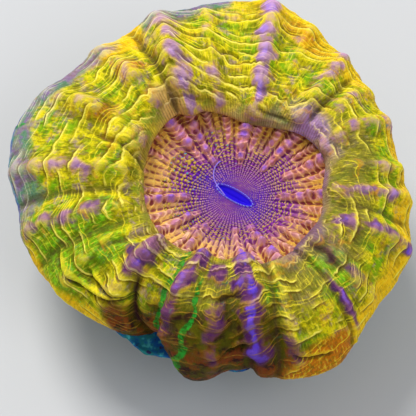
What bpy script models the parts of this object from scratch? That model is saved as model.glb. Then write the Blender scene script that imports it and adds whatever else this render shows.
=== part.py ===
"""A solitary fleshy stony coral, in metres, +Z up, standing on the flat cut of its stony cone.

Two pieces come apart on a bench: the corallum, a ribbed stony cup, and the polyp, the one living
flesh that covers the cup: mouth, oral disc, overhanging lip, lobed mantle and the hem under it.
The origin is the centre of the cut face. Azimuth 0 is +X and turns towards +Y.
"""

import math

import bmesh
import bpy

MM = 0.001

# The stony cup: a trumpet-shaped wall, given as shares of the way from cut to rim, and a hollow
# calice inside the rim, given as shares of the rim's radius and height.
CUT_RADIUS = 20 * MM
RIM_RADIUS = 43 * MM
RIM_HEIGHT = 42 * MM
RIM_WIDTH = 3 * MM
WALL = ((0.0, 0.0), (0.10, 0.20), (0.28, 0.43), (0.50, 0.62), (0.78, 0.84), (1.0, 1.0))
CALICE = ((0.80, 0.93), (0.55, 0.82), (0.30, 0.75), (0.12, 0.72))
COSTAE = 24
COSTA_HEIGHT = 0.9 * MM
SEPTUM_HEIGHT = 0.7 * MM
OVALNESS = 0.05
OVAL_TURN = 150

# The flesh on the cup reaches down the wall from its rim to the fourth step of the wall above.
FLESH_GAP = 0.5 * MM
LOWEST_CONTACT = 3
LIP_HEIGHT = 52 * MM

# Rings of the oral disc, mouth pit first: long half-axis along the mouth, short half-axis, depth
# under the lip plane, and the height of the ridges that rise over the septa.
MOUTH_TURN = -30
THROAT_DEPTH = 15.5 * MM
DISC_RINGS = (
    (4.6 * MM, 1.2 * MM, 13.5 * MM, 0.0),
    (6.2 * MM, 2.1 * MM, 10.0 * MM, 0.0),
    (7.4 * MM, 3.4 * MM, 8.6 * MM, 0.0),
    (10.5 * MM, 7.5 * MM, 8.9 * MM, 0.1 * MM),
    (14.0 * MM, 12.5 * MM, 8.5 * MM, 0.3 * MM),
    (18.0 * MM, 17.5 * MM, 7.6 * MM, 0.6 * MM),
    (22.0 * MM, 21.5 * MM, 6.2 * MM, 0.7 * MM),
)

# Stations round the mantle: azimuth, lip radius, crown over the lip plane, outline radius, and how
# far the widest line and the hem lie under the lip plane, in degrees and millimetres.
STATIONS = (
    (0, 29.0, 6.0, 56.5, 9.0, 24.0),
    (20, 31.5, 6.5, 56.5, 7.5, 22.5),
    (40, 30.5, 7.5, 59.5, 5.5, 20.5),
    (60, 26.5, 8.5, 64.5, 4.0, 19.0),
    (80, 25.0, 9.0, 72.5, 3.0, 18.0),
    (100, 29.0, 9.0, 72.0, 3.0, 18.0),
    (120, 33.5, 8.5, 71.5, 4.0, 18.5),
    (140, 32.5, 7.5, 72.0, 5.5, 20.0),
    (160, 30.5, 6.5, 76.0, 7.5, 22.0),
    (180, 29.5, 6.0, 71.5, 9.5, 23.5),
    (200, 29.5, 5.5, 67.5, 12.0, 25.0),
    (220, 29.0, 5.0, 60.0, 14.5, 26.0),
    (240, 28.0, 4.5, 56.0, 16.0, 27.0),
    (260, 27.0, 4.5, 59.0, 17.0, 27.5),
    (280, 28.0, 4.5, 60.5, 17.0, 27.5),
    (300, 30.0, 4.5, 64.0, 16.0, 27.0),
    (320, 29.0, 5.0, 58.0, 14.5, 26.0),
    (340, 30.0, 5.5, 59.0, 12.0, 25.0),
)

# Where the front of the hem swells out or draws in: azimuth, half-width in degrees, millimetres.
HEM_LOBES = ((242, 8, -5.5), (255, 8, 3.0), (270, 8, -4.5))

# Folds that run from lip to hem over the septa: azimuth at the lip, azimuth at the hem, height in
# millimetres (negative for a furrow between two lobes) and half-width in degrees.
FOLDS = (
    (70, 80, 2.4, 6), (98, 97, 0.9, 4), (120, 112, 3.6, 5), (130, 133, 1.4, 5),
    (157, 150, 2.6, 6), (178, 173, 1.8, 5), (196, 189, 1.6, 5), (225, 225, 2.6, 5),
    (250, 245, 2.2, 5), (262, 262, 0.9, 4), (277, 279, 2.6, 4), (292, 289, 1.0, 4),
    (322, 327, 2.0, 6), (338, 341, 1.6, 5), (354, 359, 1.6, 5), (32, 26, 1.9, 5),
    (50, 52, 1.9, 4), (127, 123, -2.2, 3), (167, 162, -2.4, 3), (216, 217, -1.4, 4),
    (235, 232, -4.2, 4), (287, 289, -1.8, 3), (308, 308, -2.6, 3), (309, 318, -1.6, 4),
    (64, 66, -1.2, 5), (105, 105, -1.6, 4), (40, 44, -1.2, 3), (345, 351, -1.2, 3),
)

# The mantle's section from lip to widest line: share of the way from lip to outline, share of the
# crown's height, and share of the widest line's depth.
MANTLE_SECTION = (
    (0.03, 0.28, 0.0),
    (0.10, 0.66, 0.0),
    (0.24, 0.93, 0.0),
    (0.44, 1.00, 0.04),
    (0.63, 0.84, 0.16),
    (0.80, 0.54, 0.36),
    (0.93, 0.22, 0.66),
    (1.00, 0.00, 1.00),
)

# The rolled hem under the widest line: inset from it, and share of the way down to the hem.
HEM_SECTION = (
    (0.6 * MM, 0.34),
    (2.6 * MM, 0.76),
    (6.5 * MM, 1.00),
    (12.5 * MM, 0.98),
    (19.0 * MM, 0.80),
)

# The pocket under the lip, from the disc to the lip's edge: outset from it and height over it.
LIP_SECTION = ((2.6 * MM, -3.4 * MM), (1.0 * MM, -1.9 * MM), (0.0, -0.4 * MM))

SEGMENTS = 96
WELD = 0.01 * MM


def station_value(column, azimuth):
    """A station column at an azimuth in degrees, on a closed Catmull-Rom curve."""
    spacing = 360 / len(STATIONS)
    at = (azimuth % 360) / spacing
    first = int(at)
    before, start, end, after = (
        STATIONS[(first + k) % len(STATIONS)][column] for k in (-1, 0, 1, 2)
    )
    t = at - first
    return 0.5 * (
        2 * start
        + (end - before) * t
        + (2 * before - 5 * start + 4 * end - after) * t * t
        + (3 * start - before - 3 * end + after) * t**3
    )


def outline_radius(azimuth):
    """The widest radius of the mantle, in metres."""
    further = sum(
        swell * math.exp(-(((azimuth - centre) / half_width) ** 2))
        for centre, half_width, swell in HEM_LOBES
    )
    return (station_value(3, azimuth) + further) * MM


def fold_relief(azimuth, across):
    """How far the folds push the mantle out, from 0 at the lip to 1 at the hem."""
    total = 0.0
    for lip_azimuth, hem_azimuth, height, half_width in FOLDS:
        centre = lip_azimuth + (hem_azimuth - lip_azimuth) * across
        off = (azimuth - centre + 180) % 360 - 180
        total += height * MM * math.exp(-((off / half_width) ** 2))
    return total * math.sin(math.pi * min(1.0, 0.12 + 0.70 * across))


def ridge(azimuth, height):
    """The rise of one of the septa or costae, which stand in step round the whole coral."""
    return height * math.cos(math.radians(COSTAE * azimuth))


def polar(azimuth, radius, height):
    a = math.radians(azimuth)
    return (radius * math.cos(a), radius * math.sin(a), height)


def on_cup(azimuth, radius, height):
    """A point on a ring of the cup, which is round at the cut and oval at the rim."""
    oval = OVALNESS * height / RIM_HEIGHT * math.cos(math.radians(2 * (azimuth - OVAL_TURN)))
    return polar(azimuth, radius * (1 + oval), height)


def on_disc(azimuth, long_half, short_half, height):
    """A point on a ring of the disc, whose long axis follows the mouth."""
    turn = math.radians(MOUTH_TURN)
    a = math.radians(azimuth) - turn
    along, aside = long_half * math.cos(a), short_half * math.sin(a)
    c, s = math.cos(turn), math.sin(turn)
    return (along * c - aside * s, along * s + aside * c, height)


def outer_wall():
    """Radius, height and rib height up the outside of the cup."""
    spread = RIM_RADIUS - CUT_RADIUS
    return [
        (CUT_RADIUS + spread * out, RIM_HEIGHT * up, COSTA_HEIGHT * (0.4 + 0.6 * up))
        for out, up in WALL
    ]


def inner_wall():
    """Radius, height and rib height over the rim and down into the calice."""
    rim = [(RIM_RADIUS - RIM_WIDTH, RIM_HEIGHT + 0.2 * MM, SEPTUM_HEIGHT)]
    return rim + [
        (RIM_RADIUS * out, RIM_HEIGHT * up, SEPTUM_HEIGHT * (1 - k / len(CALICE)))
        for k, (out, up) in enumerate(CALICE)
    ]


def corallum_rings():
    """The cup's rings as functions of azimuth, from the centre of the cut to the calice's centre."""
    rings = [lambda azimuth: (0.0, 0.0, 0.0)]
    for radius, height, rib in outer_wall():
        rings.append(
            lambda azimuth, r=radius, z=height, h=rib: on_cup(azimuth, r + ridge(azimuth, h), z)
        )
    for radius, height, rib in inner_wall():
        rings.append(
            lambda azimuth, r=radius, z=height, h=rib: on_cup(azimuth, r, z + ridge(azimuth, h))
        )
    rings.append(lambda azimuth: (0.0, 0.0, RIM_HEIGHT * CALICE[-1][1]))
    return rings


def disc_rings():
    """The throat, the mouth's rim and the ridged oral disc."""
    rings = [lambda azimuth: (0.0, 0.0, LIP_HEIGHT - THROAT_DEPTH)]
    for long_half, short_half, depth, rib in DISC_RINGS:
        rings.append(
            lambda azimuth, a=long_half, b=short_half, d=depth, h=rib: on_disc(
                azimuth, a, b, LIP_HEIGHT - d + ridge(azimuth, h)
            )
        )
    return rings


def lip_rings():
    return [
        lambda azimuth, out=out, up=up: polar(
            azimuth, station_value(1, azimuth) * MM + out, LIP_HEIGHT + up
        )
        for out, up in LIP_SECTION
    ]


def mantle_point(azimuth, share, crown_share, fall_share):
    lip, crown, fall = (station_value(k, azimuth) * MM for k in (1, 2, 4))
    outline = outline_radius(azimuth)
    relief = fold_relief(azimuth, share)
    outwards = share**1.5
    return polar(
        azimuth,
        lip + (outline - lip) * share + relief * outwards,
        LIP_HEIGHT + crown * crown_share - fall * fall_share + relief * (1 - outwards),
    )


def hem_point(azimuth, inset, drop_share):
    outline = outline_radius(azimuth)
    fall, droop = (station_value(k, azimuth) * MM for k in (4, 5))
    relief = fold_relief(azimuth, 1.0) * (1 - inset / HEM_SECTION[-1][0])
    return polar(
        azimuth, outline + relief - inset, LIP_HEIGHT - fall - (droop - fall) * drop_share
    )


def polyp_rings():
    """The flesh from the throat over disc, lip and mantle, under the hem and back over the cup."""
    rings = disc_rings() + lip_rings()
    for share, crown_share, fall_share in MANTLE_SECTION:
        rings.append(
            lambda azimuth, a=share, b=crown_share, c=fall_share: mantle_point(azimuth, a, b, c)
        )
    for inset, drop_share in HEM_SECTION:
        rings.append(lambda azimuth, a=inset, b=drop_share: hem_point(azimuth, a, b))
    for radius, height, rib in outer_wall()[LOWEST_CONTACT:]:
        rings.append(
            lambda azimuth, r=radius + rib + FLESH_GAP, z=height: on_cup(azimuth, r, z)
        )
    clear = SEPTUM_HEIGHT + FLESH_GAP
    outer_rim = RIM_RADIUS + COSTA_HEIGHT + FLESH_GAP
    rings.append(lambda azimuth: on_cup(azimuth, outer_rim, RIM_HEIGHT + clear))
    for radius, height, rib in inner_wall():
        rings.append(lambda azimuth, r=radius, z=height + rib + FLESH_GAP: on_cup(azimuth, r, z))
    rings.append(lambda azimuth: (0.0, 0.0, RIM_HEIGHT * CALICE[-1][1] + clear))
    return rings


def wrapped_body(name, rings, material, collection):
    """A grid wrapped round the axis through the rings, welded at its seam and at both poles."""
    built = bmesh.new()
    rows = len(rings) - 1
    bmesh.ops.create_grid(built, x_segments=SEGMENTS, y_segments=rows, size=0.5)
    for vertex in built.verts:
        azimuth = 360 * (vertex.co.x + 0.5)
        vertex.co = rings[round(rows * (vertex.co.y + 0.5))](azimuth)
    bmesh.ops.remove_doubles(built, verts=built.verts, dist=WELD)
    bmesh.ops.recalc_face_normals(built, faces=built.faces)
    mesh = bpy.data.meshes.new(name)
    built.to_mesh(mesh)
    built.free()
    mesh.shade_smooth()
    mesh.materials.append(material)
    body = bpy.data.objects.new(name, mesh)
    collection.objects.link(body)


def plain_material(name, colour, roughness):
    material = bpy.data.materials.new(name)
    material.use_nodes = True
    shader = material.node_tree.nodes["Principled BSDF"]
    shader.inputs["Base Color"].default_value = (*colour, 1)
    shader.inputs["Roughness"].default_value = roughness
    shader.inputs["Metallic"].default_value = 0
    return material


for existing in list(bpy.data.objects):
    bpy.data.objects.remove(existing)
coral = bpy.data.collections.new("fleshy_coral")
bpy.context.scene.collection.children.link(coral)
stone = plain_material("stony_skeleton", (0.05, 0.16, 0.20), 0.9)
flesh = plain_material("living_flesh", (0.36, 0.36, 0.01), 0.5)
wrapped_body("corallum", corallum_rings(), stone, coral)
wrapped_body("polyp", polyp_rings(), flesh, coral)
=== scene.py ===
"""A solitary fleshy coral: a ribbed stony cup under one living polyp with a lobed, pleated mantle."""

import math

import bmesh
import bpy
import numpy as np
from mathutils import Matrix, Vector


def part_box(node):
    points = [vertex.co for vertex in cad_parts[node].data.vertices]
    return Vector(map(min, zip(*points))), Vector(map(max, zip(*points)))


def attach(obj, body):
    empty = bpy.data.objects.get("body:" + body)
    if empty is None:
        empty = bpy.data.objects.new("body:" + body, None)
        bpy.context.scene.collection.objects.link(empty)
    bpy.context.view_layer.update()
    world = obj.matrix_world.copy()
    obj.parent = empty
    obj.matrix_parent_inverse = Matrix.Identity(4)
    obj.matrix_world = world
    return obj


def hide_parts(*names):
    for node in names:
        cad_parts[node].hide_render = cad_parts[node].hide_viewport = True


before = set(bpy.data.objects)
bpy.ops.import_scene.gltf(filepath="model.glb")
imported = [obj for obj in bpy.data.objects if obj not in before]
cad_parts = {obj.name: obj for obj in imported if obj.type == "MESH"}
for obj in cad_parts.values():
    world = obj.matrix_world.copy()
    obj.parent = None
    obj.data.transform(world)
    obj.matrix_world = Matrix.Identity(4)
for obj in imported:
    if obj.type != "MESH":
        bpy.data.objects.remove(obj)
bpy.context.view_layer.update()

# ---------------------------------------------------------------------------------------------
# The studio: a pale floor under the coral, a broad soft lamp over its far left side, a weak fill
# from the front right, and a pale sky. The camera looks down on the disc from the front.
# ---------------------------------------------------------------------------------------------
MM = 0.001
polyp_low, polyp_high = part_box("polyp")
CROWN_OVER_LIP = 11 * MM
lip_plane = polyp_high.z - CROWN_OVER_LIP

CAMERA_ELEVATION = math.radians(62)
CAMERA_DISTANCE = 800 * MM
VIEW_WIDTH = 135.2 * MM
VIEW_CENTRE = (-8.4 * MM, -6.8 * MM)
SENSOR = 36.0
FLOOR_REACH = 3.0


def add_lamp(name, place, aim, side, power, colour):
    """A round soft lamp that faces a point."""
    light = bpy.data.lights.new(name, "AREA")
    light.shape = "DISK"
    light.size = side
    light.energy = power
    light.color = colour
    lamp = bpy.data.objects.new(name, light)
    bpy.context.scene.collection.objects.link(lamp)
    lamp.location = place
    reach = aim - lamp.location
    lamp.rotation_euler = reach.to_track_quat("-Z", "Y").to_euler()


def set_stage():
    """The floor, the sky, the lamps and the camera."""
    floor_mesh = bpy.data.meshes.new("floor")
    corners = [(x * FLOOR_REACH, y * FLOOR_REACH, 0) for x, y in ((-1, -1), (1, -1), (1, 1), (-1, 1))]
    floor_mesh.from_pydata(corners, [], [(0, 1, 2, 3)])
    floor = bpy.data.objects.new("floor", floor_mesh)
    bpy.context.scene.collection.objects.link(floor)
    paint = bpy.data.materials.new("pale_floor")
    paint.use_nodes = True
    shader = paint.node_tree.nodes["Principled BSDF"]
    shader.inputs["Base Color"].default_value = (0.58, 0.59, 0.60, 1)
    shader.inputs["Roughness"].default_value = 0.9
    shader.inputs["Specular IOR Level"].default_value = 0.1
    floor_mesh.materials.append(paint)

    world = bpy.data.worlds.new("pale_sky")
    world.use_nodes = True
    sky_tree = world.node_tree
    lighting = sky_tree.nodes["Background"]
    lighting.inputs["Color"].default_value = (0.93, 0.95, 1.0, 1)
    lighting.inputs["Strength"].default_value = 0.50
    seen = sky_tree.nodes.new("ShaderNodeBackground")
    seen.inputs["Color"].default_value = (0.78, 0.79, 0.81, 1)
    path = sky_tree.nodes.new("ShaderNodeLightPath")
    looked_at = path.outputs["Is Camera Ray"]
    for ray in ("Is Glossy Ray", "Is Transmission Ray"):
        either = sky_tree.nodes.new("ShaderNodeMath")
        either.operation = "MAXIMUM"
        sky_tree.links.new(looked_at, either.inputs[0])
        sky_tree.links.new(path.outputs[ray], either.inputs[1])
        looked_at = either.outputs[0]
    choose = sky_tree.nodes.new("ShaderNodeMixShader")
    sky_tree.links.new(looked_at, choose.inputs[0])
    sky_tree.links.new(lighting.outputs[0], choose.inputs[1])
    sky_tree.links.new(seen.outputs[0], choose.inputs[2])
    sky_tree.links.new(choose.outputs[0], sky_tree.nodes["World Output"].inputs["Surface"])
    bpy.context.scene.world = world

    middle = (polyp_low + polyp_high) / 2
    add_lamp("key", Vector((-0.66, 1.18, 1.90)), middle, 1.00, 46.0, (1.0, 0.98, 0.95))
    add_lamp("fill", Vector((1.10, -0.90, 1.85)), middle, 1.50, 11.0, (0.95, 0.97, 1.0))

    camera = bpy.data.cameras.new("camera")
    camera.sensor_width = SENSOR
    camera.lens = SENSOR * CAMERA_DISTANCE / VIEW_WIDTH
    eye = bpy.data.objects.new("camera", camera)
    bpy.context.scene.collection.objects.link(eye)
    lean_sin, lean_cos = math.sin(CAMERA_ELEVATION), math.cos(CAMERA_ELEVATION)
    right, up = VIEW_CENTRE
    target = Vector((right, up * lean_sin, lip_plane + up * lean_cos))
    eye.location = target + Vector((0, -lean_cos, lean_sin)) * CAMERA_DISTANCE
    eye.rotation_euler = (math.pi / 2 - CAMERA_ELEVATION, 0, 0)
    bpy.context.scene.camera = eye


set_stage()
bpy.context.scene.view_settings.view_transform = "Standard"

# ---------------------------------------------------------------------------------------------
# The mantle: one thick skin of water-filled flesh that grows out of the lip round the oral disc,
# swells over the rim of the stony cup and hangs down round it. It is creased into fine pleats
# round the coral and raised into knuckled ridges over the septa.
# ---------------------------------------------------------------------------------------------
MANTLE_COLUMNS = 800
POCKET_ROWS = 5
TOP_ROWS = 96
HEM_ROWS = 23
LIP = lip_plane / MM

# Azimuth, lip radius, crown over the lip plane, outline radius, and how far the widest line and
# the hem lie under the lip plane, in degrees and millimetres.
STATIONS = np.array((
    (0, 29.0, 6.0, 56.5, 9.0, 24.0),
    (20, 31.5, 6.5, 56.5, 7.5, 22.5),
    (40, 30.5, 7.5, 59.5, 5.5, 20.5),
    (60, 26.5, 8.5, 64.5, 4.0, 19.0),
    (80, 25.0, 9.0, 72.5, 3.0, 18.0),
    (100, 29.0, 9.0, 72.0, 3.0, 18.0),
    (120, 33.5, 8.5, 71.5, 4.0, 18.5),
    (140, 32.5, 7.5, 72.0, 5.5, 20.0),
    (160, 30.5, 6.5, 76.0, 7.5, 22.0),
    (180, 29.5, 6.0, 71.5, 9.5, 23.5),
    (200, 29.5, 5.5, 67.5, 12.0, 25.0),
    (220, 29.0, 5.0, 60.0, 14.5, 26.0),
    (240, 28.0, 4.5, 56.0, 16.0, 27.0),
    (260, 27.0, 4.5, 59.0, 17.0, 27.5),
    (280, 28.0, 4.5, 60.5, 17.0, 27.5),
    (300, 30.0, 4.5, 64.0, 16.0, 27.0),
    (320, 29.0, 5.0, 58.0, 14.5, 26.0),
    (340, 30.0, 5.5, 59.0, 12.0, 25.0),
))

# Where the front of the hem swells out or draws in: azimuth, half-width in degrees, millimetres.
HEM_LOBES = ((242, 8, -5.5), (255, 8, 3.0), (270, 8, -4.5))

# The skin's section begins in a pocket inside the lip: millimetres out from the lip and under the
# lip plane.
POCKET = ((5.0, 4.6), (2.2, 3.6), (0.4, 2.2), (-0.2, 0.4))

# It swells over the cup's rim to the widest line: share of the way out from the lip, share of the
# crown's height that it rises, and share of the fall to the widest line that it sinks.
OVER_RIM = (
    (0.03, 0.28, 0.0), (0.10, 0.66, 0.0), (0.24, 0.93, 0.0), (0.44, 1.00, 0.04),
    (0.63, 0.84, 0.16), (0.80, 0.54, 0.36), (0.93, 0.22, 0.66), (1.00, 0.00, 1.00),
)

# It rounds the hem and turns in under it: millimetres in from the outline, and share of the way
# down from the widest line to the hem. It ends on the cup.
ROUND_HEM = ((0.6, 0.34), (2.6, 0.76), (6.5, 1.0), (12.5, 0.98), (19.0, 0.80))
END_RADIUS = 34.5
END_UNDER_LIP = 23.0
STEPS_PER_KNOT = 16


def catmull_rom(before, start, end, after, t):
    """A place between start and end, on a smooth curve that also goes through before and after."""
    return 0.5 * (
        2 * start
        + (end - before) * t
        + (2 * before - 5 * start + 4 * end - after) * t**2
        + (3 * start - before - 3 * end + after) * t**3
    )


def station(column, azimuth):
    """A station column at azimuths in degrees, on a closed curve."""
    count = len(STATIONS)
    at = (azimuth % 360) * count / 360
    first = np.floor(at).astype(int)
    return catmull_rom(*(STATIONS[(first + k) % count, column] for k in (-1, 0, 1, 2)), at - first)


def through(points, t):
    """Smooth curves through points (..., count, 2) at parameters t from 0 to count - 1."""
    last = points.shape[-2] - 1
    first = np.clip(np.floor(t).astype(int), 0, last - 1)
    near = (points[..., np.clip(first + k, 0, last), :] for k in (-1, 0, 1, 2))
    return catmull_rom(*near, (t - first)[:, None])


def section(knots, samples):
    """Smooth sections through knots of radius and height, one for each column of the knots."""
    points = np.array([np.broadcast_arrays(r, z) for r, z in knots]).transpose(2, 0, 1)
    return through(points, np.linspace(0, len(knots) - 1, samples))


def smooth(low, high, value):
    """0 under a low value and 1 over a high one, with a soft step between; low may be the greater."""
    t = np.clip((value - low) / (high - low), 0, 1)
    return t * t * (3 - 2 * t)


def band(value, in_from, in_to, out_from, out_to):
    """1 in a band of values, with a soft step at either edge."""
    return smooth(in_from, in_to, value) * (1 - smooth(out_from, out_to, value))


def bell(off, width, power=2):
    """A bump that is 1 in the middle and falls off at a width, more squarely for a higher power."""
    return np.exp(-(np.abs(off / width) ** power))


def turned(angle):
    """An angle in degrees brought between -180 and 180."""
    return (angle + 180) % 360 - 180


def column_at(bearing, columns):
    """The grid column nearest to a bearing in degrees."""
    return int(round(bearing / 360 * columns)) % columns


def lumps(azimuth, along, cells_round, cell_length, seed):
    """Smooth random lumps from -1 to 1 that close round the axis; along is in millimetres."""
    values = np.random.default_rng(seed).uniform(-1, 1, (cells_round, 64))
    x = (azimuth % 360) / 360 * cells_round
    y = np.clip(along / cell_length + 8, 0, 62)
    i, j = np.floor(x).astype(int), np.floor(y).astype(int)
    fx, fy = x - i, y - j
    fx, fy = (f**3 * (f * (f * 6 - 15) + 10) for f in (fx, fy))
    i0, i1 = i % cells_round, (i + 1) % cells_round
    low = values[i0, j] * (1 - fx) + values[i1, j] * fx
    high = values[i0, j + 1] * (1 - fx) + values[i1, j + 1] * fx
    return low * (1 - fy) + high * fy


def mantle_profile():
    """Radius, height and distance from the lip's edge, in millimetres, for every row and column."""
    azimuth = np.arange(MANTLE_COLUMNS) * 360 / MANTLE_COLUMNS
    lip, crown, outline, fall, droop = (station(k, azimuth) for k in range(1, 6))
    for centre, half_width, further in HEM_LOBES:
        outline = outline + further * bell(turned(azimuth - centre), half_width)
    knots = [(lip + out, LIP - under) for out, under in POCKET]
    lip_knot = len(knots) - 1
    for out, rise, sink in OVER_RIM:
        knots.append((lip + (outline - lip) * out, LIP + crown * rise - fall * sink))
    widest_knot = len(knots) - 1
    for inset, drop in ROUND_HEM:
        knots.append((outline - inset, LIP - fall - (droop - fall) * drop))
    knots.append((np.full_like(lip, END_RADIUS), LIP - END_UNDER_LIP))
    fine = section(knots, (len(knots) - 1) * STEPS_PER_KNOT + 1)
    legs = np.linalg.norm(np.diff(fine, axis=1), axis=2)
    run = np.concatenate([np.zeros((MANTLE_COLUMNS, 1)), np.cumsum(legs, axis=1)], axis=1)
    radius, height, along, share = (
        np.empty((POCKET_ROWS + TOP_ROWS + HEM_ROWS, MANTLE_COLUMNS)) for _ in range(4)
    )
    for column in range(MANTLE_COLUMNS):
        lip_run = run[column, lip_knot * STEPS_PER_KNOT]
        widest_run = run[column, widest_knot * STEPS_PER_KNOT]
        at = np.concatenate([
            np.linspace(0, lip_run, POCKET_ROWS, endpoint=False),
            np.linspace(lip_run, widest_run, TOP_ROWS, endpoint=False),
            widest_run + (run[column, -1] - widest_run) * np.linspace(0, 1, HEM_ROWS) ** 1.3,
        ])
        radius[:, column] = np.interp(at, run[column], fine[column, :, 0])
        height[:, column] = np.interp(at, run[column], fine[column, :, 1])
        along[:, column] = at - lip_run
        share[:, column] = along[:, column] / (widest_run - lip_run)
    return np.broadcast_to(azimuth, radius.shape), radius, height, along, share


def spun(azimuth, radius, height):
    """Points at azimuths in degrees, radii and heights."""
    a = np.radians(azimuth)
    return np.stack([radius * np.cos(a), radius * np.sin(a), height], axis=-1)


def normals(points):
    """Unit normals of a grid that closes on itself along its second axis, pointing outwards."""
    down = np.gradient(points, axis=0)
    round_ = np.roll(points, -1, axis=1) - np.roll(points, 1, axis=1)
    normal = np.cross(down, round_)
    return normal / np.maximum(np.linalg.norm(normal, axis=-1, keepdims=True), 1e-9)


azimuth, radius, height, along, share = mantle_profile()


def uneven(cells_round, cell_length, seed):
    """Lumps over the mantle's own grid."""
    return lumps(azimuth, along, cells_round, cell_length, seed)


def aside(centre):
    """Signed millimetres round the mantle from an azimuth, which may change on the way out."""
    return np.radians(turned(azimuth - centre)) * radius


# Ridges over the septa: azimuth at the lip and at the hem, height and half-width in millimetres,
# violet from 0 to 1, and the shares of the way out between which the ridge stands.
RIDGES = (
    (74, 80, 3.6, 4.2, 1.0, 0.05, 1.05),
    (100, 98, 1.6, 2.6, 0.45, 0.02, 0.95),
    (117, 111, 4.2, 4.6, 0.75, -0.05, 1.05),
    (133, 130, 2.2, 3.4, 0.35, 0.15, 1.05),
    (153, 148, 1.6, 4.2, 0.30, 0.05, 1.05),
    (177, 173, 3.0, 3.8, 0.72, 0.12, 1.05),
    (197, 190, 2.6, 3.6, 0.75, 0.15, 1.05),
    (210, 209, 2.0, 3.2, 0.25, 0.35, 1.05),
    (224, 223, 3.4, 4.0, 0.80, 0.10, 0.80),
    (249, 245, 2.6, 4.2, 0.75, -0.05, 1.00),
    (262, 262, 1.8, 3.0, 0.60, 0.15, 1.00),
    (276, 278, 2.8, 4.4, 1.00, -0.10, 0.86),
    (291, 289, 1.6, 2.8, 0.40, 0.10, 0.95),
    (318, 320, 2.2, 3.6, 0.35, 0.10, 1.00),
    (333, 343, 2.2, 3.0, 0.80, 0.25, 1.05),
    (352, 359, 2.2, 2.8, 0.74, 0.10, 1.05),
    (5, 9, 1.6, 3.0, 0.35, 0.25, 0.90),
    (24, 27, 2.4, 3.4, 0.45, 0.05, 1.10),
    (46, 54, 2.8, 3.2, 0.65, 0.10, 0.95),
    (36, 40, 1.4, 3.0, 0.30, 0.40, 1.05),
    (64, 67, 1.6, 3.2, 0.25, 0.40, 1.05),
)

# Knobs that stand apart from the ridges' rows of knuckles: azimuth, share, height, half-width
# round and half-length outwards in millimetres, and violet.
KNOBS = (
    (116, 0.45, 2.0, 3.6, 4.0, 0.1),
    (132, 0.45, 2.2, 3.6, 4.0, 0.4),
    (151, 0.52, 3.6, 3.4, 6.5, 0.1),
    (157, 0.20, 3.4, 6.2, 5.6, 0.2),
    (224, 0.30, 3.4, 3.8, 5.0, 0.8),
    (250, 0.14, 1.8, 3.6, 3.0, 0.8),
    (247, 0.34, 3.2, 4.4, 3.8, 0.9),
    (246, 0.58, 1.8, 3.8, 4.2, 0.5),
    (276, 0.12, 2.0, 3.6, 2.8, 1.0),
    (276, 0.30, 2.8, 4.2, 3.2, 1.0),
    (277, 0.46, 2.8, 4.2, 4.0, 1.0),
    (262, 0.50, 1.6, 3.2, 4.0, 0.6),
    (299, 0.10, 1.6, 5.4, 2.6, 0.3),
    (311, 0.64, 0.6, 1.6, 7.5, 1.0),
    (327, 0.25, 1.6, 3.0, 5.0, 0.15),
)
KNUCKLE_SPACING = 7.5


def from_point(centre_azimuth, centre_share):
    """Signed millimetres round the mantle and outwards from a point on it, over the whole grid."""
    column = column_at(centre_azimuth, MANTLE_COLUMNS)
    centre_along = np.interp(centre_share, share[:, column], along[:, column])
    return aside(centre_azimuth), along - centre_along


def knuckles():
    """The knobs, and along each ridge a row of knuckles, uneven as grown flesh is."""
    rows = list(KNOBS)
    draw = np.random.default_rng(41)
    for at_lip, at_hem, high, half_width, tint, start, end in RIDGES:
        column = column_at((at_lip + at_hem) / 2, MANTLE_COLUMNS)
        whole = np.interp(1.0, share[:, column], along[:, column])
        out = max(start, 0.0) + 0.06
        while out < min(end, 0.96):
            spacing = KNUCKLE_SPACING * draw.uniform(0.7, 1.4)
            rows.append((
                at_lip + (at_hem - at_lip) * out + draw.uniform(-0.8, 0.8),
                out,
                (0.1 + 0.45 * high) * draw.uniform(0.75, 1.25),
                half_width * draw.uniform(0.75, 1.0),
                0.36 * spacing * draw.uniform(0.85, 1.15),
                tint * draw.choice((0.35, 0.8, 1.2)),
            ))
            out += spacing / whole
    return rows


def ridges_and_knuckles():
    """Height and violet of the ridges, how they spread, and the outlines round their knuckles."""
    rise, spread, violet, outline = (np.zeros_like(radius) for _ in range(4))
    stray = [
        1.3 * uneven(60, 5, seed) + 0.9 * uneven(150, 2.2, seed + 1) for seed in (31, 33)
    ]
    patchy = smooth(-0.3, 0.5, uneven(50, 6, 35))
    for at_lip, at_hem, high, half_width, tint, start, end in RIDGES:
        off = aside(at_lip + turned(at_hem - at_lip) * share)
        window = band(share, start - 0.05, start + 0.12, end - 0.1, end + 0.15)
        rise += 0.8 * high * bell(off, half_width, 1.7) * window
        spread += high * bell(off, 2.1 * half_width) * window
        stripe = bell(off + stray[0], 0.62 * half_width) * window * (0.2 + 0.8 * patchy)
        violet = np.maximum(violet, tint * stripe * smooth(0.55, 0.95, tint))
    for centre, out, high, half_width, half_length, tint in knuckles():
        x, y = from_point(centre, out)
        reach = np.sqrt((x / half_width) ** 2 + (y / half_length) ** 2)
        rise += high * bell(reach, 1, 2.6)
        ragged = min(1.6, 0.4 * half_width)
        torn_x, torn_y = x + ragged * stray[0], y + ragged * stray[1]
        torn = np.hypot(torn_x / half_width, torn_y / (1.5 * half_length))
        violet = np.maximum(violet, 0.85 * tint * bell(torn, 0.80))
        torn = np.hypot((x + stray[0]) / half_width, (y + stray[1]) / half_length)
        arc = bell(torn - 1.0, 0.24) * smooth(-0.2, 0.6, y / half_length)
        outline = np.maximum(outline, arc)
    return rise, spread, violet, outline * (1 - smooth(0.2, 0.5, violet))


rise, spread, violet, outline = ridges_and_knuckles()

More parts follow.
